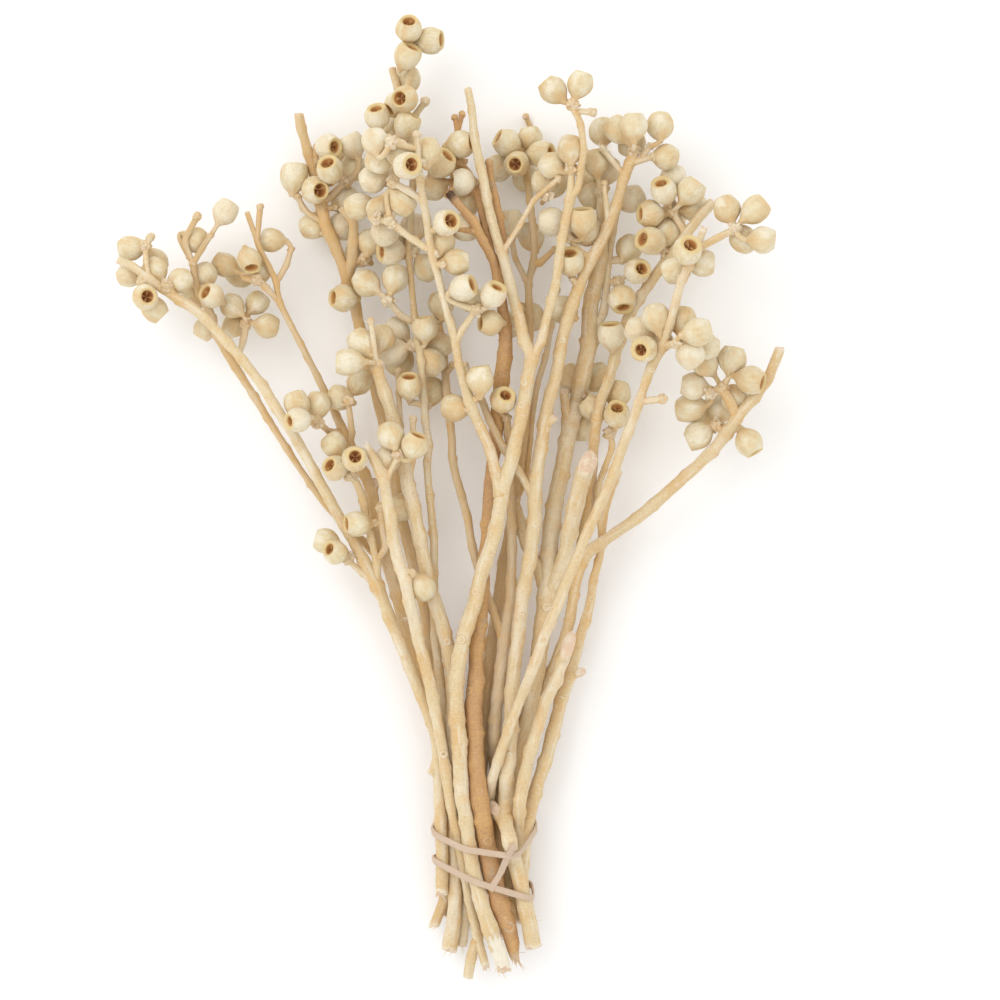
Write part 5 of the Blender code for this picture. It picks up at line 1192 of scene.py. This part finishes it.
def fibre(draw, root, way, length):
    """A loose white fibre: a thin tube that curls and tapers to a point."""
    share = np.linspace(0.0, 1.0, FIBRE_RINGS)
    bend = unit(np.cross(way, draw.normal(size=3))) * draw.uniform(0.1, 0.5)
    path = root + length * (share[:, None] * way + (share**2)[:, None] * bend)
    _, side, up = frames(path)
    width = FIBRE_RADIUS * (1.0 - 0.8 * share)
    rings = path[:, None] + width[:, None, None] * round_ways(angles_round(FIBRE_SIDES), side, up)
    finish = np.zeros_like(rings)
    finish[..., 1] = 1.0
    return skin(rings, rings - root, finish, 0.1, BARK)


def nodes_along(draw, points, children):
    """How far along a stem its nodes are, in millimetres: at bends, side shoots and between, evenly."""
    run = lengths(points)
    steps = unit(np.diff(points, axis=0))
    bends = np.degrees(np.arccos(np.clip((steps[:-1] * steps[1:]).sum(1), -1.0, 1.0)))
    nodes = list(run[1:-1][bends > LEAST_BEND])
    nodes += [run[segment] + share * (run[segment + 1] - run[segment]) for segment, share in children]
    spaced = sorted([0.0, run[-1]] + nodes)
    for start, end in zip(spaced[:-1], spaced[1:]):
        count = int((end - start) / NODE_SPACING)
        nodes += [start + (end - start) * (step + draw.uniform(-0.25, 0.25)) / (count + 1)
                  for step in range(1, count + 1)]
    return sorted(node for node in nodes if NODE_MARGINS[0] < node < run[-1] - NODE_MARGINS[1])


def end_of(draw, places, thick):
    """The cut at the end of a bare shoot: the one that shows, or a small one that is nearly square."""
    known = CUT_ENDS.get(tuple(places[-1][:2]))
    if known:
        return known + (CUT,)
    return draw.uniform(-0.3, 0.3), 0.12 + 0.1 * thick * draw.random(), CUT


def surface_spot(shoots, x, y):
    """The stem's middle, direction, outward way in front and radius, under a place of the grid."""
    place = placed(flat([(x, y)]))[0, :2]
    best = None
    for part in shoots:
        points = placed(part["points"])
        path, spots = eased(points, WOOD_STEP, WOOD_BLUR)
        away = np.hypot(*(path[:, :2] - place).T)
        index = int(away.argmin())
        if best is None or away[index] < best[0]:
            radius = np.interp(spots[index], lengths(points), part["radii"])
            best = (away[index], path[index], frames(path)[0][index], radius)
    _, middle, along, radius = best
    offset = np.append(place - middle[:2], 0.0)
    offset -= along * (offset @ along)
    inside = min(np.linalg.norm(offset) / radius, 0.8)
    out = unit(np.array((0.0, 0.0, 1.0)) - along * along[2]) * math.sqrt(1.0 - inside**2)
    if inside > 0.05:
        out = out + unit(offset) * inside
    return middle, along, unit(out), radius


def chance_scars(draw, points, radii, nodes, tone):
    """Leaf scars past some of the nodes of a stout stem, on any side of it."""
    skins = []
    for node in nodes:
        if radii.mean() > SCARRED_RADIUS and draw.random() < SCAR_SHARE:
            path, spots = eased(points, WOOD_STEP, WOOD_BLUR)
            spot = int(np.abs(spots - node - 1.5).argmin())
            along, side, up = frames(path)
            out = round_ways(np.array([draw.uniform(0.0, 2.0 * math.pi)]), side[spot], up[spot])[0]
            radius = float(np.interp(spots[spot], lengths(points), radii))
            width = radius * draw.uniform(1.0, 1.4)
            skins.append(scar(draw, path[spot], along[spot], out, radius, width, tone))
    return skins


def stem_skins(draw, name, shoots):
    """The stem and twigs of one branch, with the scars, knobs and fibres on them."""
    skins = []
    branch_tone = draw.uniform(0.2, 0.8)
    children = {index: [] for index in range(len(shoots))}
    for part in shoots:
        if part["root"]:
            children[part["root"][0]].append(part["root"][1:])
    for index, part in enumerate(shoots):
        points, last = placed(part["points"]), part["places"][-1]
        radii = part["radii"] * np.linspace(1.0, STOUTER.get(tuple(last[:2]), 1.0), len(points))
        if len(part["nuts"]) and lengths(points)[-1] < SHORTEST_TWIG:
            continue
        nodes = nodes_along(draw, points, children[index])
        root, foot = 0.0, None
        if part["root"]:
            parent, segment, share = part["root"]
            widths = shoots[parent]["radii"]
            root = float(np.interp(segment + share, np.arange(len(widths)), widths))
        else:
            foot = FEET.get(name, USUAL_FOOT) + (CUT,)
        tip = None if len(part["nuts"]) else end_of(draw, part["places"], 2.0 * radii[-1])
        dark = 1.0 if name == BURNT_BRANCH and index == 0 else 0.0
        tone = branch_tone + draw.uniform(-0.12, 0.12)
        peeled = PEELED.get(name, 0.0) if foot else 0.0
        skins.append(wood(draw, points, radii, nodes, root, foot, tip, tone, dark, peeled))
        skins += chance_scars(draw, points, radii, nodes, tone)
        if foot:
            away = unit(points[0] - points[1])
            for _ in range(FIBRES):
                start = points[0] + radii[0] * 0.8 * unit(draw.normal(size=3)) - 1.5 * away
                way = unit(away + 0.35 * draw.normal(size=3))
                skins.append(fibre(draw, start, way, draw.uniform(2.0, 4.5)))
        elif tip and radii[-1] < KNOBBED_RADIUS and last[1] < FOOT_ROW:
            end = points[-1] + 0.3 * unit(points[-1] - points[-2])
            skins.append(knob(draw, end, draw.uniform(1.2, 1.5) * radii[-1], tone, 0.16, 0.4))
    for x, y, heading in WISPS.get(name, ()):
        middle, _, out, radius = surface_spot(shoots, x, y)
        level = rounded(1.0, 0.3, math.radians(heading))
        for _ in range(WISP_FIBRES):
            way = unit(level + 0.3 * draw.normal(size=3))
            skins.append(fibre(draw, middle + 0.8 * radius * out, way, draw.uniform(3.0, 7.0)))
    for x, y, width in SCARS.get(name, ()):
        middle, along, out, radius = surface_spot(shoots, x, y)
        skins.append(scar(draw, middle, along, out, radius, width * GRID_STEP, 0.4))
    return skins


def nut_skins(draw, name, shoots, sizes):
    """The hubs of one branch with the stubs of fallen stalks, and the nuts on them."""
    skins = []
    for part in shoots:
        middles = placed(part["nuts"])
        if not len(middles):
            continue
        hub = placed(part["points"])[-1]
        tone = draw.uniform(0.2, 0.8)
        ways = unit(middles - hub)
        radius = 0.5 * sizes.hub_width / MM if len(middles) > 1 else SINGLE_HUB * part["radii"][-1]
        skins.append(knob(draw, hub, radius, tone, 0.24))
        stubs = draw.integers(3, 6) if len(middles) > 1 else 0
        for way in unit(draw.normal(size=(stubs, 3))):
            if (ways @ way).max() < STUB_NEARNESS:
                length = radius + draw.uniform(0.3, 1.4)
                skins.append(peg(draw, hub, way, draw.uniform(0.6, 0.95), length, tone))
        for middle, way in zip(middles, part["ways"]):
            size = sizes.nut_width / MM * NUT_SHARES.get(name, 1.0) * draw.uniform(0.95, 1.045)
            mouth = sizes.mouth_share * draw.uniform(0.88, 1.12)
            own = draw.uniform(0.0, 1.0)
            skins.append(stalk(draw, hub, middle, way, 0.5 * size, own))
            skins.append(nut(draw, middle, way, size, mouth, own))
    return skins


def band_skins(draw, shoots, sizes):
    """The doubled band: two turns round the tied stems and the strand that crosses between them."""
    surface = tied_surface(shoots, BAND_GAP + 0.5 * sizes.band_thickness / MM)
    skins, fronts = [], []
    for turn in (UPPER_TURN, LOWER_TURN):
        path = band_path(surface, turn)
        skins.append(flat_band(draw, path, sizes, True))
        front = path[path[:, 2] > path[:, 2].mean()]
        fronts.append(front[front[:, 0].argsort()])
    link = placed(flat(BAND_LINK))
    for spot in link:
        near = np.hypot(*(surface[:, :2] - spot[:2]).T) < BAND_REACH
        spot[2] = surface[near, 2].max()
    for end, front in ((0, fronts[0]), (-1, fronts[1])):
        link[end, 2] = max(link[end, 2], np.interp(link[end, 0], front[:, 0], front[:, 2]) + LINK_STEP)
    link, _ = eased(link, BAND_STEP, 1.2)
    skins.append(flat_band(draw, link, sizes, False))
    return skins


def flat_band(draw, path, sizes, joined):
    """A flat strip of rubber carried along a path, which twists a little as it goes.

    Its section is a rounded rectangle, a power of the sine and cosine round it. A joined strip faces away
    from the stems that it goes round, and an open one faces up.
    """
    if joined:
        path, _ = eased(np.vstack((path, path[:1])), BAND_STEP, 1.1)
        outward = np.roll(path, -1, axis=0) - np.roll(path, 1, axis=0)
        outward = np.column_stack((outward[:, 2], np.zeros(len(path)), -outward[:, 0]))[:-1]
        path = path[:-1]
        along = unit(np.roll(path, -1, axis=0) - np.roll(path, 1, axis=0))
    else:
        outward = np.array((0.0, 0.0, 1.0))
        along = unit(np.gradient(path, axis=0))
    run = np.arange(len(path)) / len(path)
    outward = unit(outward - along * (outward * along).sum(1, keepdims=True))
    across = np.cross(along, outward)
    waves = sum(draw.normal(0.0, 0.06) * np.sin(2.0 * math.pi * count * run + draw.uniform(0.0, 6.0))
                for count in BAND_WAVES)
    high = outward * np.cos(waves)[:, None] + across * np.sin(waves)[:, None]
    wide = across * np.cos(waves)[:, None] - outward * np.sin(waves)[:, None]
    circle = rounded(1.0, 0.0, angles_round(BAND_SIDES))[:, :2]
    one, two = (np.sign(circle) * np.abs(circle) ** BAND_CORNERS).T
    half_wide = 0.5 * sizes.band_width / MM * (1.0 + 0.5 * waves)
    half_high = 0.5 * sizes.band_thickness / MM
    rings = path[:, None] + (half_wide[:, None] * one)[..., None] * wide[:, None]
    rings += (half_high * two)[:, None] * high[:, None]
    distance = (run * lengths(path)[-1])[:, None]
    grain = np.stack(np.broadcast_arrays(one, two, distance), axis=-1)
    return skin(rings, grain, np.zeros_like(rings), 0.5, 0, joined)


def make_piece(name, skins, materials):
    """One object from closed skins, in metres, with its pattern coordinates and finish as attributes."""
    counts = np.array([len(item["points"]) for item in skins])
    starts = np.cumsum(counts) - counts
    points = np.concatenate([item["points"] for item in skins]) * MM
    points[:, 2] = np.maximum(points[:, 2], LEAST_HEIGHT)
    quads, fans = (np.concatenate([item[key] + start for item, start in zip(skins, starts)])
                   for key in ("quads", "fans"))
    kinds = [np.split(item["kind"], (len(item["quads"]),)) for item in skins]
    kind = np.concatenate([quad for quad, _ in kinds] + [fan for _, fan in kinds])
    mesh = bpy.data.meshes.new(name)
    mesh.vertices.add(len(points))
    mesh.vertices.foreach_set("co", points.ravel())
    corners = np.concatenate((quads.ravel(), fans.ravel()))
    mesh.loops.add(len(corners))
    mesh.loops.foreach_set("vertex_index", corners)
    mesh.polygons.add(len(quads) + len(fans))
    first = np.concatenate((np.arange(len(quads)) * 4, len(quads) * 4 + np.arange(len(fans)) * 3))
    mesh.polygons.foreach_set("loop_start", first)
    for material in materials:
        mesh.materials.append(material)
    mesh.polygons.foreach_set("material_index", kind.astype(np.int32))
    for key, form, field in (("grain", "FLOAT_VECTOR", "vector"), ("finish", "FLOAT_VECTOR", "vector"),
                             ("tone", "FLOAT", "value")):
        values = np.concatenate([item[key] for item in skins]).astype(np.float32)
        mesh.attributes.new(key, form, "POINT").data.foreach_set(field, values.ravel())
    mesh.update(calc_edges=True)
    mesh.shade_smooth()
    mesh.set_sharp_from_angle(angle=math.radians(SHARP_ANGLE))
    piece = bpy.data.objects.new(name, mesh)
    bpy.context.scene.collection.objects.link(piece)
    return piece


def colour_property(name, colour, about):
    """A colour that a user can change."""
    return FloatVectorProperty(
        name=name, description=about, default=colour, size=3, min=0.0, max=1.0, subtype="COLOR")


def length_property(name, value, about):
    """A length that a user can change, in metres."""
    return FloatProperty(name=name, description=about, default=value, min=0.0, precision=4, unit="LENGTH")


class AMBERNUT_PG_sizes(PropertyGroup):
    """Sizes of the nuts, hubs and band."""

    nut_width: length_property("Nut width", 0.0126, "Width of a nut across its middle")
    hub_width: length_property("Hub width", 0.0058, "Width of the knobbly hub that nuts grow from")
    band_width: length_property("Band width", 0.003, "Width of the rubber band")
    band_thickness: length_property("Band thickness", 0.0011, "Thickness of the rubber band")
    mouth_share: FloatProperty(
        name="Mouth share", description="Width of a nut's mouth over the nut's width", default=0.46, min=0.1,
        max=0.55, subtype="FACTOR")
    seed: IntProperty(
        name="Seed", description="Picks the lumps, marks and colours of the wood", default=7, min=0)


class AMBERNUT_PG_colours(PropertyGroup):
    """Colours of the bark, nuts, cut wood and rubber."""

    pale_bark: colour_property("Pale bark", (0.73, 0.605, 0.375), "Bleached bark")
    # Partly the bark's own tan and partly painted shade for the branches at the back; nuts of a high tone
    # take it as a tint.
    tan_bark: colour_property("Tan bark", (0.65, 0.48, 0.26), "Bark that kept some of its colour")
    brown_bark: colour_property("Brown bark", (0.55, 0.31, 0.14), "Bark that was not bleached")
    warm_stain: colour_property("Warm stain", (0.68, 0.42, 0.165), "Orange stain at roots, nodes and necks")
    shell: colour_property("Nut shell", (0.75, 0.65, 0.43), "Outside of a nut")
    rim: colour_property("Nut rim", (0.74, 0.565, 0.27), "Yellow ring round a nut's mouth")
    amber: colour_property("Nut inside", (0.74, 0.38, 0.13), "Walls and valves inside a nut")
    # The colour of the painted shade at the bottom of a nut's hollow.
    hollow: colour_property("Nut hollow", (0.26, 0.09, 0.025), "Bottom of a nut's hollow")
    bare_wood: colour_property("Bare wood", (0.84, 0.77, 0.62), "Fibres and wood without bark")
    cut_face: colour_property("Cut face", (0.74, 0.55, 0.39), "Freshly cut end of a branch")
    burnt: colour_property("Burnt bark", (0.09, 0.05, 0.03), "Dark dead end of a branch")
    rubber: colour_property("Rubber", (0.58, 0.44, 0.32), "The rubber band")


class AMBERNUT_PG_studio(PropertyGroup):
    """The floor and the light."""

    floor_colour: colour_property("Floor", (0.98, 0.98, 0.98), "Pale studio floor")
    floor_size: length_property("Floor size", 6.0, "Width of the floor")
    lamp_size: length_property("Lamp size", 1.2, "Width of the soft lamp")
    lamp_power: FloatProperty(
        name="Lamp power", description="Power of the soft lamp", default=9.0, min=0.0, unit="POWER")
    sky: FloatProperty(name="Sky", description="Brightness of the white surroundings", default=1.08, min=0.0)


def put(tree, kind, inputs=(), **settings):
    """Adds a node with its settings, and feeds each input a value or another node's output."""
    made = tree.nodes.new(kind)
    for key, value in settings.items():
        setattr(made, key, value)
    for key, value in dict(inputs).items():
        if isinstance(value, bpy.types.NodeSocket):
            tree.links.new(value, made.inputs[key])
        else:
            made.inputs[key].default_value = value
    return made


def marks(tree):
    """The finish of each place: how warm, how bare or yellow, and how dark it is.

    In a nut's hollow the dark is painted shade.
    """
    held = put(tree, "ShaderNodeAttribute", attribute_name="finish")
    return put(tree, "ShaderNodeSeparateXYZ", {0: held.outputs["Vector"]}).outputs


def own_tone(tree):
    """How warm a whole stem, hub or nut is."""
    return put(tree, "ShaderNodeAttribute", attribute_name="tone").outputs["Fac"]


def pattern(tree, stretch, scale, detail=2.0, rough=0.5, twist=0.0):
    """Noise on the wood's own coordinates in millimetres, with its marks stretched along the grain."""
    held = put(tree, "ShaderNodeAttribute", attribute_name="grain")
    place = put(tree, "ShaderNodeMapping", {0: held.outputs["Vector"], "Scale": (1.0, 1.0, 1.0 / stretch)})
    noise = put(tree, "ShaderNodeTexNoise", {"Vector": place.outputs[0], "Scale": scale, "Detail": detail,
                                             "Roughness": rough, "Distortion": twist})
    return noise.outputs[0]


def span(tree, value, low, high, start=0.0, end=1.0):
    """A value taken smoothly from one range to another."""
    made = put(tree, "ShaderNodeMapRange", {0: value, 1: low, 2: high, 3: start, 4: end},
               interpolation_type="SMOOTHSTEP")
    return made.outputs[0]


def times(tree, one, two):
    """The product of two values."""
    return put(tree, "ShaderNodeMath", {0: one, 1: two}, operation="MULTIPLY").outputs[0]


def painted(tree, shader, paint, layers):
    """Lays colours over a first one, each mixed over those before it.

    A layer is its colour and its share, or its colour, a pattern, and the range that the pattern's value is
    taken from and the one that its share is taken to.
    """
    paint = (*paint, 1.0)
    for colour, share, *ranges in layers:
        if ranges:
            share = span(tree, share, *ranges)
        made = put(tree, "ShaderNodeMix", {0: share, 6: paint, 7: (*colour, 1.0)}, data_type="RGBA")
        paint = made.outputs[2]
    tree.links.new(paint, shader.inputs["Base Color"])


def start_material(name, roughness):
    """A new material with its shader."""
    material = bpy.data.materials.new(name)
    material.use_nodes = True
    shader = material.node_tree.nodes["Principled BSDF"]
    shader.inputs["Roughness"].default_value = roughness
    shader.inputs["Specular IOR Level"].default_value = 0.3
    return material, material.node_tree, shader


def relief(tree, shader, height, depth, strength):
    """Bump of a given depth in metres."""
    made = put(tree, "ShaderNodeBump", {"Height": height, "Distance": depth, "Strength": strength})
    tree.links.new(made.outputs[0], shader.inputs["Normal"])


def bark_material(name, colours, worn, bleached):
    """Bark of a named colour: warm patches, specks, pale wear, grey stains, warm nodes and bare ends."""
    material, tree, shader = start_material(name, 0.75)
    finish = marks(tree)
    fibres = pattern(tree, 7.0, 1.7, 3.0, 0.6)
    crossing = pattern(tree, 0.45, 0.55, 4.0, 0.65, 0.4)
    streaks = pattern(tree, 8.0, 0.36, 3.0, 0.6)
    patches = pattern(tree, 2.0, 0.10, 3.0, 0.6)
    specks = pattern(tree, 1.0, 1.25, 2.0, 0.6)
    broad = pattern(tree, 1.6, 0.035, 2.0)
    warm, bare = colours.warm_stain, colours.bare_wood
    # On the branches at the back the named colour is the shaded tan one, darker partly as painted shade.
    painted(tree, shader, getattr(colours, name), (
        (warm, own_tone(tree), 0.0, 1.0, 0.0, 0.35),
        (bare, broad, 0.36, 0.50, 0.45 * bleached, 0.0),
        (warm, broad, 0.50, 0.66, 0.0, 0.50),
        (warm, patches, 0.48, 0.66, 0.0, 0.50),
        (GREY_STAIN, patches, 0.30, 0.42, worn, 0.0),
        (bare, streaks, 0.34, 0.50, 0.5 * bleached, 0.0),
        (warm, crossing, 0.54, 0.68, 0.0, 0.5),
        (bare, crossing, 0.36, 0.48, 0.4 * bleached, 0.0),
        (BARK_SPECK, specks, 0.66, 0.73, 0.0, 0.4),
        (BARK_CREASE, crossing, 0.38, 0.52, 0.55 * worn, 0.0),
        (warm, times(tree, finish[0], span(tree, crossing, 0.3, 0.6, 0.5, 1.0))),
        (bare, times(tree, finish[1], 0.3 + 0.7 * bleached)),
        (colours.burnt, finish[2]),
        (FIBRE_SHADE, fibres, 0.35, 0.55, 0.14, 0.0),
    ))
    height = put(tree, "ShaderNodeMath", {0: fibres, 1: crossing}, operation="ADD")
    relief(tree, shader, height.outputs[0], 0.0004, 0.8)
    return material


def shell_material(colours):
    """A nut's shell: ribs from neck to rim, pale and warm mottles, a yellow rim and a warm neck."""
    material, tree, shader = start_material("nut_shell", 0.62)
    finish, tone = marks(tree), own_tone(tree)
    ribs = pattern(tree, 3.2, 0.95, 4.0, 0.62, 0.9)
    mottles = pattern(tree, 1.3, 0.15, 3.0, 0.6)
    specks = pattern(tree, 1.0, 0.9, 2.0, 0.5)
    warm, bare = colours.warm_stain, colours.bare_wood
    painted(tree, shader, colours.shell, (
        (colours.pale_bark, tone, 0.0, 1.0, 0.0, 0.35),
        (colours.tan_bark, tone, 0.72, 1.0, 0.0, 0.45),
        (warm, mottles, 0.45, 0.66, 0.0, 0.5),
        (bare, mottles, 0.34, 0.49, 0.65, 0.0),
        (bare, tone, 0.0, 0.35, 0.45, 0.0),
        (warm, times(tree, finish[0], span(tree, ribs, 0.35, 0.65, 0.75, 0.25))),
        (colours.rim, finish[1]),
        (SHELL_SPECK, specks, 0.70, 0.75, 0.0, 0.55),
        (RIB_SHADE, ribs, 0.34, 0.50, 0.20, 0.0),
    ))
    relief(tree, shader, ribs, 0.00055, 0.9)
    return material


def inside_material(colours):
    """The hollow of a nut: amber walls and valves, with painted shade that darkens them to the bottom of each
    cell.
    """
    material, tree, shader = start_material("nut_inside", 0.5)
    finish = marks(tree)
    rough = pattern(tree, 1.5, 1.1, 3.0, 0.6)
    painted(tree, shader, colours.amber, (
        (colours.warm_stain, rough, 0.4, 0.7, 0.0, 0.4),
        # Painted shade towards the bottom of the hollow.
        (colours.hollow, finish[2]),
        (colours.rim, finish[1]),
    ))
    relief(tree, shader, rough, 0.0003, 0.6)
    return material


def cut_material(colours):
    """A cut end: pinkish wood with fine pores and paler fibres."""
    material, tree, shader = start_material("cut_wood", 0.8)
    pores = pattern(tree, 1.0, 2.2, 3.0, 0.7)
    mottles = pattern(tree, 1.0, 0.5, 2.0)
    painted(tree, shader, colours.cut_face, (
        (colours.bare_wood, mottles, 0.4, 0.65, 0.0, 0.6),
        (PORE_SHADE, pores, 0.35, 0.55, 0.25, 0.0),
    ))
    relief(tree, shader, pores, 0.0003, 0.7)
    return material


def rubber_material(colours):
    """Matte rubber with a dusty bloom and faint marks across it."""
    material, tree, shader = start_material("band_rubber", 0.62)
    bloom = pattern(tree, 3.0, 0.5, 3.0, 0.6)
    marks_across = pattern(tree, 0.35, 1.6, 2.0)
    painted(tree, shader, colours.rubber, (
        (RUBBER_BLOOM, bloom, 0.4, 0.7, 0.0, 0.35),
        (RUBBER_SHADE, marks_across, 0.35, 0.5, 0.18, 0.0),
    ))
    relief(tree, shader, marks_across, 0.00012, 0.5)
    return material


class AMBERNUT_OT_grow_branches(Operator):
    """Grow the fifteen branches with their twigs, hubs, nuts and scars"""

    bl_idname = "ambernut.grow_branches"
    bl_label = "Grow branches"

    def execute(self, context):
        sizes, colours = context.scene.ambernut_sizes, context.scene.ambernut_colours
        barks = {kind: bark_material(kind + "_bark", colours, *wear) for kind, wear in WEAR.items()}
        common = [shell_material(colours), inside_material(colours), cut_material(colours)]
        shoots = grown_bunch()
        for number, name in enumerate(BRANCHES):
            own = [part for part in shoots if part["branch"] == name]
            draw = np.random.default_rng(sizes.seed * SEED_STEP + number)
            bark = BARKS.get(name, "pale")
            skins = stem_skins(draw, name, own) + nut_skins(draw, name, own, sizes)
            piece = make_piece(name + "_grown", skins, [barks[bark]] + common)
            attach(piece, "root")
            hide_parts(name)
        return {"FINISHED"}


class AMBERNUT_OT_wind_band(Operator):
    """Wind the rubber band twice round the tied stems"""

    bl_idname = "ambernut.wind_band"
    bl_label = "Wind band"

    def execute(self, context):
        sizes, colours = context.scene.ambernut_sizes, context.scene.ambernut_colours
        draw = np.random.default_rng(sizes.seed * SEED_STEP + BAND_ROW)
        skins = band_skins(draw, grown_bunch(), sizes)
        piece = make_piece("band_wound", skins, [rubber_material(colours)])
        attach(piece, "root")
        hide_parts("rubber_band")
        return {"FINISHED"}


def soft_lamp(name, place, target, size, power):
    """A square soft lamp that shines on a place."""
    data = bpy.data.lights.new(name, "AREA")
    data.shape = "SQUARE"
    data.size = size
    data.energy = power
    lamp = bpy.data.objects.new(name, data)
    lamp.location = place
    lamp.rotation_euler = (Vector(target) - lamp.location).to_track_quat("-Z", "Y").to_euler()
    bpy.context.scene.collection.objects.link(lamp)


class AMBERNUT_OT_set_stage(Operator):
    """Set the pale floor, the soft lamp and the camera that looks straight down"""

    bl_idname = "ambernut.set_stage"
    bl_label = "Set stage"

    def execute(self, context):
        studio = context.scene.ambernut_studio
        half = 0.5 * studio.floor_size
        mesh = bpy.data.meshes.new("studio_floor")
        corners = [(-half, -half, 0.0), (half, -half, 0.0), (half, half, 0.0), (-half, half, 0.0)]
        mesh.from_pydata(corners, [], [(0, 1, 2, 3)])
        floor = bpy.data.objects.new("studio_floor", mesh)
        context.scene.collection.objects.link(floor)
        material, _, shader = start_material("studio_floor", 0.9)
        shader.inputs["Base Color"].default_value = (*studio.floor_colour, 1.0)
        mesh.materials.append(material)
        middle = (SHIFT[0] * MM, SHIFT[1] * MM, REST_HEIGHT * MM)
        place = (middle[0] + LAMP_ASIDE[0], middle[1] + LAMP_ASIDE[1], LAMP_HEIGHT)
        soft_lamp("main_lamp", place, middle, studio.lamp_size, studio.lamp_power)
        world = bpy.data.worlds.new("studio_sky")
        world.use_nodes = True
        back = world.node_tree.nodes["Background"]
        back.inputs["Color"].default_value = (1.0, 1.0, 1.0, 1.0)
        back.inputs["Strength"].default_value = studio.sky
        context.scene.world = world
        context.scene.view_settings.view_transform = "Standard"
        data = bpy.data.cameras.new("photo_camera")
        data.sensor_width = SENSOR_WIDTH
        data.lens = SENSOR_WIDTH * VIEW_DISTANCE / (GRID_SPAN * GRID_STEP)
        camera = bpy.data.objects.new("photo_camera", data)
        camera.location = (middle[0], middle[1], middle[2] + VIEW_DISTANCE * MM)
        context.scene.collection.objects.link(camera)
        context.scene.camera = camera
        return {"FINISHED"}


class AMBERNUT_PT_panel(Panel):
    """Buttons and values of the bunch in the sidebar"""

    bl_label = "Ambernut bunch"
    bl_idname = "AMBERNUT_PT_panel"
    bl_space_type = "VIEW_3D"
    bl_region_type = "UI"
    bl_category = "Ambernut"

    def draw(self, context):
        layout = self.layout
        for operator in (AMBERNUT_OT_grow_branches, AMBERNUT_OT_wind_band, AMBERNUT_OT_set_stage):
            layout.operator(operator.bl_idname)
        scene = context.scene
        for held in (scene.ambernut_sizes, scene.ambernut_colours, scene.ambernut_studio):
            box = layout.box()
            for key in held.__annotations__:
                box.prop(held, key)


CLASSES = (AMBERNUT_PG_sizes, AMBERNUT_PG_colours, AMBERNUT_PG_studio, AMBERNUT_OT_grow_branches,
           AMBERNUT_OT_wind_band, AMBERNUT_OT_set_stage, AMBERNUT_PT_panel)


def register():
    """Registers the classes and gives the scene their values."""
    for item in CLASSES:
        bpy.utils.register_class(item)
    bpy.types.Scene.ambernut_sizes = PointerProperty(type=AMBERNUT_PG_sizes)
    bpy.types.Scene.ambernut_colours = PointerProperty(type=AMBERNUT_PG_colours)
    bpy.types.Scene.ambernut_studio = PointerProperty(type=AMBERNUT_PG_studio)


def unregister():
    """Takes the values and classes away again."""
    for key in ("ambernut_sizes", "ambernut_colours", "ambernut_studio"):
        delattr(bpy.types.Scene, key)
    for item in reversed(CLASSES):
        bpy.utils.unregister_class(item)


def main():
    """Builds the bunch and its stage."""
    register()
    bpy.ops.ambernut.set_stage()
    bpy.ops.ambernut.grow_branches()
    bpy.ops.ambernut.wind_band()
    bpy.context.view_layer.update()


if __name__ == "__main__":
    main()
